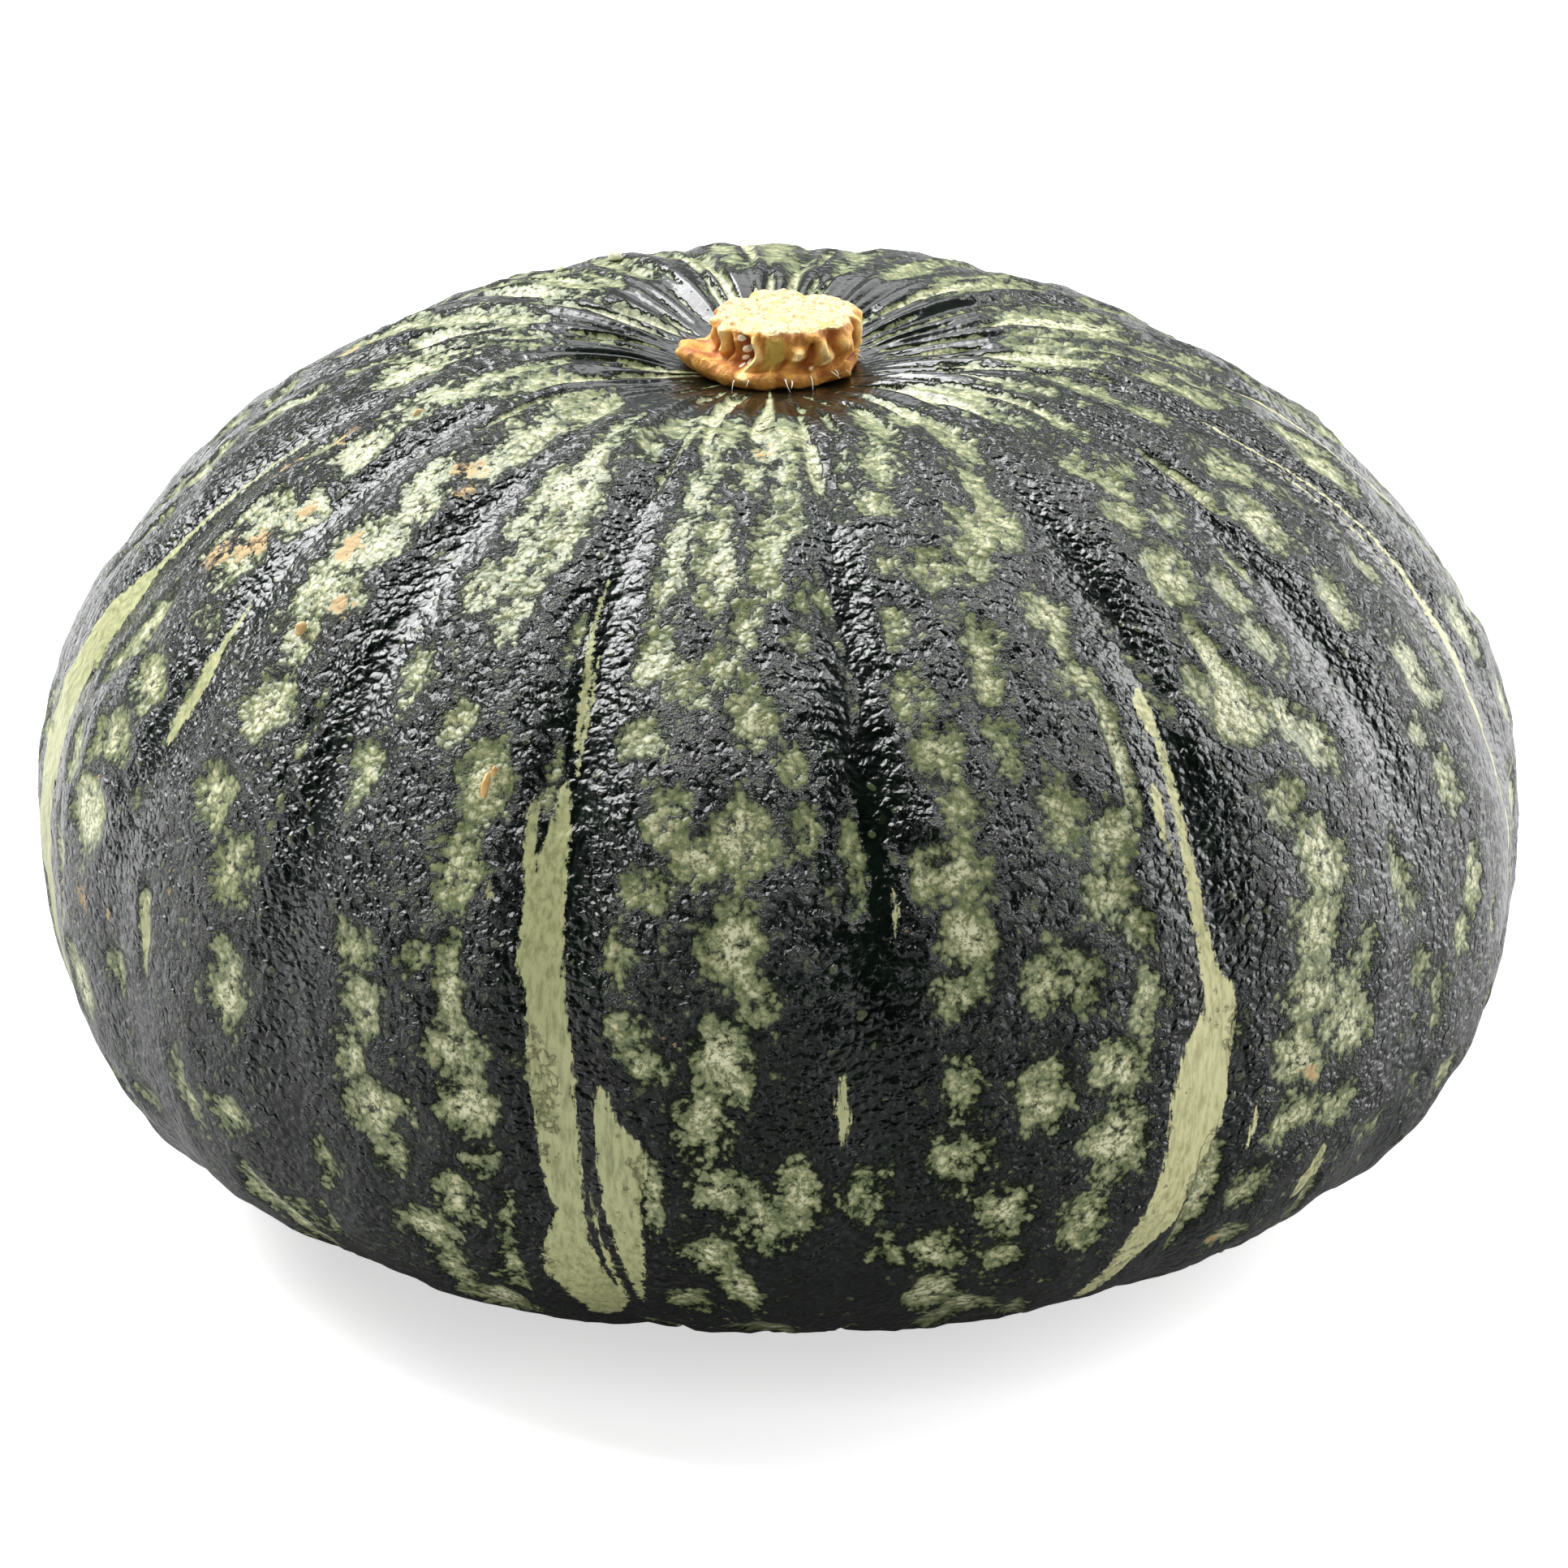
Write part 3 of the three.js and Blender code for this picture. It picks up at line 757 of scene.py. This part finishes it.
# The side's usual radius, how far the foot sits to the right of the box's middle, the millimetres
# of one degree on the side, and how far along the outline the cut face ends.
STEM_RADIUS = 9.0
STEM_OFFSET = 0.8
BEAD_SPREAD = 0.157
FACE_END = 0.27


def stub_box():
    """The low corner and the middle of the CAD stub in millimetres, and how its height compares
    with that of the outline."""
    low, high = (np.array(corner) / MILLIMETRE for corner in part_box("stem_stub"))
    return low, (low + high) / 2, (high[2] - low[2]) / STEM_OUTLINE[0][2]


def stem_mesh(settings):
    """The stub on a grid of bearing by way along its outline, with noise, folds, a lobe that lifts
    from the foot on the left, and beads of sap pushed out from it."""
    low, middle, stretch = stub_box()
    turn = np.arange(STEM_COLUMNS) * 2 * math.pi / STEM_COLUMNS
    bearing = wrap(np.degrees(turn))[None, :]
    ring = np.stack([np.sin(turn), -np.cos(turn), np.zeros(STEM_COLUMNS)], axis=-1)
    along, radii, levels = np.array(STEM_OUTLINE).T
    down = np.linspace(0.0, 1.0, STEM_ROWS)[:, None]
    soften = np.hanning(11)[1:-1] / np.hanning(11).sum()
    radius, level = (
        np.convolve(np.pad(np.interp(down[:, 0], along, values), 4, "edge"), soften, "valid")[:, None]
        for values in (radii, levels))
    side = smooth((down - 0.28) / 0.07)
    roll = smooth((down - 0.66) / 0.1) * (1.0 - smooth((down - 0.9) / 0.1))
    still = np.zeros((STEM_ROWS, STEM_COLUMNS))
    place = STEM_RADIUS * ring + still[..., None]
    place[..., 2] = level
    wander = 7.0 * lattice_noise(place / [5.0, 5.0, 2.6], 40)
    fold = still.copy()
    for centre, half_width, height, lowest, highest in STEM_FOLDS:
        across = bell(wrap(bearing + wander - centre) / half_width)
        fold += height * across * smooth(level - lowest + 0.5) * smooth(highest + 0.5 - level)
    facet = smooth((9.0 - np.abs(bearing + 9.0)) / 3.0) * smooth(level - 1.2) * smooth(6.0 - level)
    rough = 0.6 * lattice_noise(place / [1.5, 1.5, 2.4], 41)
    rough = rough + 0.3 * lattice_noise(place / [0.7, 0.7, 1.4], 42)
    edge = 0.7 * lattice_noise(place / [3.4, 3.4, 60.0], 44) * smooth(down / FACE_END)
    notch = bell(wrap(bearing - 158) / 11) + 0.6 * bell(wrap(bearing + 142) / 9)
    edge -= 1.5 * notch * smooth(down / FACE_END)
    lobe = bell((bearing + 74) / 29) * roll
    wave = 0.5 * lattice_noise(place / [3.0, 3.0, 20.0], 48) * roll
    bark = 0.8 * (fold + rough * (1.0 - 0.8 * facet)) * side * (1.0 - 0.7 * roll)
    radius = radius + bark + edge + (1.8 + 1.4 * rough) * lobe + wave
    grit = 0.2 * lattice_noise(place / [1.6, 1.6, 2.0] + 7, 45) * side
    level = level + (1.5 + 0.9 * rough) * lobe + wave + grit
    bead = still.copy()
    for centre, bead_level, size in STEM_BEADS:
        away = np.hypot(wrap(bearing - centre) * BEAD_SPREAD, level - bead_level) / size
        dome = np.sqrt(np.clip(1.0 - away**2, 0.0, 1.0))
        bead = np.maximum(bead, dome)
        radius = radius + size * dome
    points = ring[None] * radius[..., None]
    points[..., 2] = level * stretch
    flat = points * [1.0, 1.0, 0.0]
    grain = 0.3 * lattice_noise(flat / 1.5, 46) + 0.16 * lattice_noise(flat / 0.6, 47)
    points[..., 2] += grain * (1 - side)
    points[..., 0] += STEM_OFFSET + 1.4 * smooth((level - 0.6) / 2.4) * (1.0 - np.minimum(lobe, 1.0))
    points = points + [middle[0], middle[1], low[2]]
    fields = {"side": side + still, "fold": fold + rough, "bead": bead, "facet": facet + still,
              "foot": roll + smooth((down - 0.86) / 0.06) + still, "stem_place": flat + place * [0, 0, 1]}
    return closed_grid("squash_stem", points, fields)


HOLLOW_RED_BROWN = (0.32, 0.085, 0.01)
# Pale straw for the painted highlight on the stem's highest folds and specks.
STRAW_FOLD_HIGHLIGHT = (0.92, 0.66, 0.28)
FOOT_BROWN = (0.62, 0.27, 0.035)
FACET_GREEN = (0.38, 0.24, 0.015)
FACET_GOLD = (0.74, 0.55, 0.13)
FACE_BROWN = (0.40, 0.23, 0.07)
FACE_TINT = (0.62, 0.42, 0.10)
SAP_CREAM = (0.85, 0.76, 0.58)


def stem_material(settings):
    """Dry cork: darker red-brown in the hollows, tan on the folds with pale straw painted as highlight on
    the highest folds and specks, golden green on the one smooth facet, and pale cream with fibre ends on
    the cut face."""
    material, nodes, surface = new_material("stem cork")
    place = nodes.attribute("stem_place", "Vector")
    side, fold, foot = (nodes.attribute(name) for name in ("side", "fold", "foot"))
    speck = nodes.noise(place, 1.9, 4.0, 0.7)
    grain = nodes.noise(nodes.stretch(place, (1.0, 1.0, 0.3)), 0.9, 4.0, 0.65)
    # Darker red-brown in the hollows between the folds, tan on the raised folds.
    raised = nodes.step(nodes.scaled(grain, 1.2, fold), -0.1, 1.5)
    bark = nodes.mix(raised, HOLLOW_RED_BROWN, settings.bark_colour)
    # Pale straw painted as highlight on the highest folds and specks.
    bark = nodes.mix(nodes.step(nodes.scaled(speck, 1.2, fold), 0.9, 1.7), bark, STRAW_FOLD_HIGHLIGHT)
    bark = nodes.mix(nodes.times(nodes.step(foot, 0.9, 1.9), 0.6), bark, FOOT_BROWN)
    facet = nodes.mix(grain, FACET_GREEN, FACET_GOLD)
    bark = nodes.mix(nodes.times(nodes.attribute("facet"), 0.85), bark, facet)
    fibre = nodes.step(nodes.noise(nodes.stretch(place, (1.0, 0.6, 1.0)), 1.6, 3.0, 0.75), 0.38, 0.5)
    face = nodes.mix(fibre, FACE_BROWN, settings.face_colour)
    tint = nodes.step(nodes.noise(place, 0.35, 3.0, 0.6), 0.5, 0.66)
    face = nodes.mix(nodes.times(tint, 0.7), face, FACE_TINT)
    colour = nodes.mix(side, face, bark)
    colour = nodes.mix(nodes.step(nodes.attribute("bead"), 0.15, 0.5), colour, SAP_CREAM)
    nodes.feed(surface.inputs["Base Color"], colour)
    surface.inputs["Roughness"].default_value = 0.62
    nodes.lift(surface, nodes.scaled(speck, 0.3, nodes.times(grain, 0.35)))
    return material


# Dry fibres that hang from the foot: bearing, level of the root, length, sideways lean.
STEM_FIBRES = [
    (-28, 0.5, 1.5, 0.1), (-17, 0.9, 1.1, -0.2), (7.5, 0.8, 1.7, 0.5), (12, 0.6, 0.8, -0.3),
    (25.5, 0.9, 1.9, -0.15), (43, 0.9, 0.9, 0.5), (46, 1.0, 0.7, -0.4), (53, 1.1, 1.0, 0.6),
    (78, 1.4, 1.5, 0.8), (-74, 1.2, 0.8, -0.4), (118, 0.9, 1.3, 0.3), (165, 0.8, 1.2, -0.3),
    (-142, 0.9, 1.4, 0.4), (-105, 1.0, 1.0, 0.2),
]
FIBRE_RINGS = 8
FIBRE_AROUND = 6


def fibres_mesh(settings):
    """Fine tapered tubes, each a ring of points swept along a curve that leaves the foot, drops
    and leans to one side."""
    low, middle, _ = stub_box()
    bearing, root, length, lean = (column[:, None, None] for column in np.array(STEM_FIBRES, float).T)
    way = np.linspace(0.0, 1.0, FIBRE_RINGS)[None, :, None]
    around = np.linspace(0.0, 2 * math.pi, FIBRE_AROUND, endpoint=False)[None, None, :]
    thick = settings.fibre_radius / MILLIMETRE * (1.0 - 0.75 * way)
    turn = np.radians(bearing)
    reach = 10.0 + 0.9 * np.sqrt(way) + 0.25 * way + thick * np.cos(around)
    sideways = lean * way**2 - thick * np.sin(around)
    level = root - length * way**1.4 * 0.8 + 0 * around
    x = middle[0] + STEM_OFFSET + reach * np.sin(turn) + sideways * np.cos(turn)
    y = middle[1] - reach * np.cos(turn) + sideways * np.sin(turn)
    return joined_tubes("squash_stem_fibres", np.stack([x, y, low[2] + level], axis=-1))


def joined_tubes(name, points):
    """One mesh of closed tubes from an array of tube by ring by point around."""
    tubes, rings, around = points.shape[:3]
    size = rings * around
    start = (np.arange(tubes) * size)[:, None, None]
    here = np.arange(around)[None, None, :]
    beside = (here + 1) % around
    ring = start + (np.arange(rings - 1) * around)[None, :, None]
    sides = np.stack([ring + here, ring + beside, ring + around + beside, ring + around + here], axis=-1)
    first, last = start[:, 0] + here[0, :, ::-1], start[:, 0] + size - around + here[0]
    faces = [*sides.reshape(-1, 4).tolist(), *first.tolist(), *last.tolist()]
    mesh = bpy.data.meshes.new(name)
    mesh.from_pydata((points.reshape(-1, 3) * MILLIMETRE).tolist(), [], faces)
    mesh.update()
    mesh.shade_smooth()
    return mesh


def fibres_material():
    """Pale dry straw with no gloss."""
    material, _, surface = new_material("dry fibre")
    surface.inputs["Base Color"].default_value = (0.85, 0.82, 0.72, 1)
    surface.inputs["Roughness"].default_value = 0.6
    return material


# ---- Warts: small hard beads that stand on the rind -------------------------------------------

# Bearing, arc, half width, half length, height in millimetres, how tan from 0 to 1.
WARTS = [
    (-50.5, 79.5, 0.75, 1.0, 0.7, 0.8), (-25, 91, 0.5, 1.55, 0.6, 1.0),
    (-24.6, 89.2, 0.35, 0.6, 0.45, 1.0), (-67.5, 48, 0.5, 0.9, 0.4, 0.7),
    (-66, 108, 0.35, 0.5, 0.35, 0.9), (-58.5, 117, 0.35, 0.4, 0.35, 0.9),
    (-150, 42, 0.8, 1.3, 0.9, 0.1), (-141, 45, 0.6, 0.9, 0.7, 0.1), (-158, 66, 0.5, 0.8, 0.5, 0.6),
    (132, 88, 0.5, 0.9, 0.5, 0.8), (168, 104, 0.6, 0.8, 0.5, 0.7), (-118, 92, 0.5, 0.7, 0.45, 0.8),
]
WART_AROUND = 20
WART_RINGS = 10
WART_SKIRT = 0.3
SLOPE_STEP = 0.4


def warts_mesh(settings):
    """Each wart is a low dome on a shallow skirt: rings that shrink by a quarter circle while they
    rise, set on the skin and turned to its normal."""
    bearing, arc, half_width, half_length, height, tan = np.array(WARTS, float).T
    base = rind_surface(bearing, arc, settings)
    down = rind_surface(bearing, arc + SLOPE_STEP, settings) - base
    sideways = rind_surface(bearing + SLOPE_STEP, arc, settings) - base
    normal = np.cross(down, sideways)
    normal, down = (axis / np.linalg.norm(axis, axis=-1, keepdims=True) for axis in (normal, down))
    sideways = np.cross(normal, down)
    half_width, half_length, height, phase = (
        column[:, None, None] for column in (half_width, half_length, height, bearing))
    angle = np.linspace(0.0, 0.5 * math.pi, WART_RINGS)[None, :, None]
    around = np.linspace(0.0, 2 * math.pi, WART_AROUND, endpoint=False)[None, None, :]
    lumpy = 1.0 + 0.12 * np.sin(2 * around + phase) * np.cos(angle)
    shrink = np.maximum(np.cos(angle), 0.03) * lumpy
    rise = np.sin(angle) * height - WART_SKIRT * np.cos(angle) + 0 * around
    across = half_width * shrink * np.sin(around)
    along = half_length * shrink * np.cos(around)
    points = base[:, None, None]
    for amount, axis in ((along, down), (across, sideways), (rise, normal)):
        points = points + amount[..., None] * axis[:, None, None]
    mesh = joined_tubes("squash_warts", points)
    colour = mesh.attributes.new("tan", "FLOAT", "POINT")
    colour.data.foreach_set("value", np.repeat(tan, WART_RINGS * WART_AROUND).astype(np.float32))
    return mesh


def warts_material():
    """Pale green to amber, clouded and waxy."""
    material, nodes, surface = new_material("wart")
    cloud = nodes.noise(nodes.add("ShaderNodeTexCoord").outputs["Object"], 1500.0, 2.0, 0.6)
    amber = nodes.mix(cloud, (0.30, 0.15, 0.04), (0.68, 0.44, 0.16))
    green = nodes.mix(cloud, (0.20, 0.23, 0.13), (0.45, 0.48, 0.32))
    nodes.feed(surface.inputs["Base Color"], nodes.mix(nodes.attribute("tan"), green, amber))
    surface.inputs["Roughness"].default_value = 0.35
    return material


# ---- The add-on: settings, operators and panel ------------------------------------------------


def length_setting(name, description, default, low, high, precision=5):
    """A length, in metres as Blender keeps it."""
    return bpy.props.FloatProperty(
        name=name, description=description, default=default, min=low, max=high,
        subtype="DISTANCE", unit="LENGTH", precision=precision)


def factor_setting(name, description, default, high):
    """A plain factor from 0 up."""
    return bpy.props.FloatProperty(
        name=name, description=description, default=default, min=0.0, max=high, subtype="FACTOR")


def colour_setting(name, description, default):
    """A colour as red, green and blue."""
    return bpy.props.FloatVectorProperty(
        name=name, description=description, default=default, min=0.0, max=1.0, subtype="COLOR", size=3)


class SquashRind(bpy.types.PropertyGroup):
    widest_radius: length_setting(
        "Widest Radius", "Radius of the widest ring between the ribs",
        91.6 * MILLIMETRE, 0.06, 0.12, 4)
    groove_depth: factor_setting(
        "Groove Depth", "Depth of the grooves between ribs, as a factor", 0.64, 3.0)
    lump_height: length_setting(
        "Lump Height", "Height of the broad lumps of the skin", 0.62 * MILLIMETRE, 0.0, 0.002)
    pebble_height: length_setting(
        "Pebble Height", "Height of the fine pebbled relief", 0.4 * MILLIMETRE, 0.0, 0.001)
    skin_colour: colour_setting(
        "Skin Colour", "Dark ground colour of the rind", (0.0008, 0.0018, 0.0012))
    patch_colour: colour_setting(
        "Patch Colour", "Sage colour in the middle of the patches", (0.31, 0.31, 0.165))
    stripe_colour: colour_setting(
        "Stripe Colour", "Pale green of the stripes", (0.43, 0.42, 0.22))


class SquashStem(bpy.types.PropertyGroup):
    bark_colour: colour_setting(
        "Cork Colour", "Straw orange of the stem's raised folds", (0.86, 0.45, 0.09))
    face_colour: colour_setting(
        "Cut Face Colour", "Pale cream of the cut face", (0.60, 0.50, 0.27))
    fibre_radius: length_setting(
        "Fibre Radius", "Radius of a dry fibre at its root", 0.11 * MILLIMETRE, 0.0, 0.001)


class SquashStudio(bpy.types.PropertyGroup):
    camera_distance: length_setting(
        "Camera Distance", "From the camera to the middle of the widest ring", 1.1, 0.3, 5.0, 2)
    camera_elevation: bpy.props.FloatProperty(
        name="Camera Elevation", description="How far above level the camera looks from",
        default=math.radians(22.0), min=0.0, max=1.5, subtype="ANGLE", unit="ROTATION")
    lens: bpy.props.FloatProperty(
        name="Lens", description="Focal length of the camera in millimetres",
        default=202.68, min=20.0, max=400.0, unit="CAMERA")
    key_power: bpy.props.FloatProperty(
        name="Key Power", description="Power of the large soft light at the upper left, in watts",
        default=46.0, min=0.0, max=500.0, subtype="POWER", unit="POWER")
    surroundings: factor_setting("Surroundings", "Brightness of the pale surroundings", 0.24, 5.0)


class SQUASH_OT_make_rind(bpy.types.Operator):
    """Makes the fruit's rind with its ribs, patches and stripes"""

    bl_idname = "squash.make_rind"
    bl_label = "Make Rind"

    def execute(self, context):
        settings = context.scene.squash_rind
        place_piece(rind_mesh(settings), rind_material(settings), ["squash_body"])
        return {"FINISHED"}


class SQUASH_OT_make_stem(bpy.types.Operator):
    """Makes the cut stub of the stem"""

    bl_idname = "squash.make_stem"
    bl_label = "Make Stem"

    def execute(self, context):
        settings = context.scene.squash_stem
        place_piece(stem_mesh(settings), stem_material(settings), ["stem_stub"])
        return {"FINISHED"}


class SQUASH_OT_make_fibres(bpy.types.Operator):
    """Makes the dry fibres round the foot of the stem"""

    bl_idname = "squash.make_fibres"
    bl_label = "Make Fibres"

    def execute(self, context):
        place_piece(fibres_mesh(context.scene.squash_stem), fibres_material())
        return {"FINISHED"}


class SQUASH_OT_make_warts(bpy.types.Operator):
    """Makes the small warts on the rind"""

    bl_idname = "squash.make_warts"
    bl_label = "Make Warts"

    def execute(self, context):
        place_piece(warts_mesh(context.scene.squash_rind), warts_material())
        return {"FINISHED"}


def soft_light(name, direction, distance, size, power, aim):
    """A square soft light that shines at the aim from a direction and distance."""
    light = bpy.data.lights.new(name, "AREA")
    light.shape = "SQUARE"
    light.size = size
    light.energy = power
    lamp = bpy.data.objects.new(name, light)
    away = Vector(direction).normalized()
    lamp.location = aim + away * distance
    lamp.rotation_euler = away.to_track_quat("Z", "Y").to_euler()
    bpy.context.scene.collection.objects.link(lamp)
    return lamp


NEAR_BLACK = (0.004, 0.004, 0.004)
WHITE = (1.0, 1.0, 1.0)


def surroundings(scene, brightness):
    """Pale even surroundings that fade to a dark sector in front of the fruit, as in a studio with
    an unlit room behind the camera. The camera itself sees plain white."""
    world = bpy.data.worlds.new("studio surroundings")
    world.use_nodes = True
    scene.world = world
    nodes = Nodes(world.node_tree)
    direction = nodes.add("ShaderNodeTexCoord").outputs["Generated"]
    toward = nodes.add("ShaderNodeSeparateXYZ", {"Vector": direction}).outputs
    front = nodes.times(toward["Y"], -1.0)
    ahead = nodes.scaled(nodes.math("ABSOLUTE", toward["X"]), -0.6, front)
    pale = (0.94 * brightness, brightness, brightness)
    grey = nodes.mix(nodes.step(ahead, -0.3, 0.4), pale, NEAR_BLACK)
    seen = nodes.add("ShaderNodeLightPath").outputs["Is Camera Ray"]
    nodes.feed(world.node_tree.nodes["Background"].inputs["Color"], nodes.mix(seen, grey, WHITE))


FLOOR_HALF = 4.0
FLOOR_LEVEL = -0.05 * MILLIMETRE
FLOOR_GLOW = 0.6
FLOOR_PALE = (0.86, 0.86, 0.86)


def floor_piece():
    """A wide level floor just under the fruit. Glossy reflections see it darker beside the fruit,
    and darkest in front of it, as if the sheet ended there."""
    half = FLOOR_HALF
    corners = ((-half, -half), (half, -half), (half, half), (-half, half))
    mesh = bpy.data.meshes.new("studio_floor")
    mesh.from_pydata([(x, y, FLOOR_LEVEL) for x, y in corners], [], [(0, 1, 2, 3)])
    material, nodes, surface = new_material("studio floor")
    path = nodes.add("ShaderNodeLightPath").outputs
    place = nodes.add("ShaderNodeTexCoord").outputs["Object"]
    place = nodes.add("ShaderNodeSeparateXYZ", {"Vector": place}).outputs
    sideways = nodes.math("ABSOLUTE", place["X"])
    ahead = nodes.scaled(sideways, -0.9, nodes.times(place["Y"], -1.0))
    beside = nodes.mix(nodes.step(sideways, 0.08, 0.25), (0.32, 0.32, 0.32), (0.85, 0.85, 0.85))
    seen = nodes.mix(nodes.step(ahead, 0.07, 0.24), beside, (0.02, 0.02, 0.02))
    nodes.feed(surface.inputs["Base Color"], nodes.mix(path["Is Glossy Ray"], FLOOR_PALE, seen))
    surface.inputs["Roughness"].default_value = 1.0
    surface.inputs["Specular IOR Level"].default_value = 0.0
    surface.inputs["Emission Color"].default_value = (*WHITE, 1.0)
    nodes.feed(surface.inputs["Emission Strength"], nodes.times(path["Is Camera Ray"], FLOOR_GLOW))
    mesh.materials.append(material)
    floor = bpy.data.objects.new("studio_floor", mesh)
    bpy.context.scene.collection.objects.link(floor)


# Each light: its name, direction and distance, size in metres, share of the key light's power.
LIGHTS = [
    ("key_light", (-0.46, 0.40, 0.79), 1.2, 1.05, 1.0),
    ("right_light", (0.80, 0.42, 0.34), 1.4, 1.2, 0.62),
    ("back_light", (0.05, 0.78, 0.62), 1.5, 0.8, 0.1),
    ("fill_light", (0.15, -0.85, 0.6), 1.6, 1.5, 0.3),
]
AIM_RIGHT = 0.47
AIM_DOWN = 0.83


class SQUASH_OT_set_stage(bpy.types.Operator):
    """Sets the pale floor, the soft lights, the surroundings and the camera"""

    bl_idname = "squash.set_stage"
    bl_label = "Set Stage"

    def execute(self, context):
        studio = context.scene.squash_studio
        floor_piece()
        middle = Vector((0.0, 0.0, RESTING_DROP * MILLIMETRE))
        elevation = studio.camera_elevation
        back = Vector((0.0, -math.cos(elevation), math.sin(elevation)))
        up = Vector((0.0, math.sin(elevation), math.cos(elevation)))
        aim = middle + Vector((AIM_RIGHT, 0.0, 0.0)) * MILLIMETRE - up * AIM_DOWN * MILLIMETRE
        lens = bpy.data.cameras.new("studio_camera")
        lens.lens = studio.lens
        lens.sensor_width = 36.0
        lens.clip_start = 0.05
        camera = bpy.data.objects.new("studio_camera", lens)
        camera.location = aim + back * studio.camera_distance
        camera.rotation_euler = back.to_track_quat("Z", "Y").to_euler()
        context.scene.collection.objects.link(camera)
        context.scene.camera = camera
        for name, direction, distance, size, share in LIGHTS:
            lamp = soft_light(name, direction, distance, size, studio.key_power * share, middle)
            lamp.visible_glossy = name != "fill_light"
        surroundings(context.scene, studio.surroundings)
        context.scene.view_settings.view_transform = "Standard"
        return {"FINISHED"}


class SQUASH_PT_panel(bpy.types.Panel):
    """Lists the squash's pieces and their settings"""

    bl_idname = "SQUASH_PT_panel"
    bl_label = "Buttercup Squash"
    bl_space_type = "VIEW_3D"
    bl_region_type = "UI"
    bl_category = "Squash"

    def draw(self, context):
        groups = (
            (context.scene.squash_rind, (SQUASH_OT_make_rind, SQUASH_OT_make_warts)),
            (context.scene.squash_stem, (SQUASH_OT_make_stem, SQUASH_OT_make_fibres)),
            (context.scene.squash_studio, (SQUASH_OT_set_stage,)),
        )
        for settings, operators in groups:
            box = self.layout.box()
            for name in settings.__annotations__:
                box.prop(settings, name)
            for operator in operators:
                box.operator(operator.bl_idname)


CLASSES = (
    SquashRind, SquashStem, SquashStudio,
    SQUASH_OT_make_rind, SQUASH_OT_make_warts, SQUASH_OT_make_stem, SQUASH_OT_make_fibres,
    SQUASH_OT_set_stage, SQUASH_PT_panel,
)
SETTINGS = {"squash_rind": SquashRind, "squash_stem": SquashStem, "squash_studio": SquashStudio}


def register():
    for item in CLASSES:
        bpy.utils.register_class(item)
    for name, group in SETTINGS.items():
        setattr(bpy.types.Scene, name, bpy.props.PointerProperty(type=group))


def unregister():
    for name in SETTINGS:
        delattr(bpy.types.Scene, name)
    for item in reversed(CLASSES):
        bpy.utils.unregister_class(item)


def main():
    register()
    bpy.ops.squash.make_rind()
    bpy.ops.squash.make_warts()
    bpy.ops.squash.make_stem()
    bpy.ops.squash.make_fibres()
    bpy.ops.squash.set_stage()


if __name__ == "__main__":
    main()
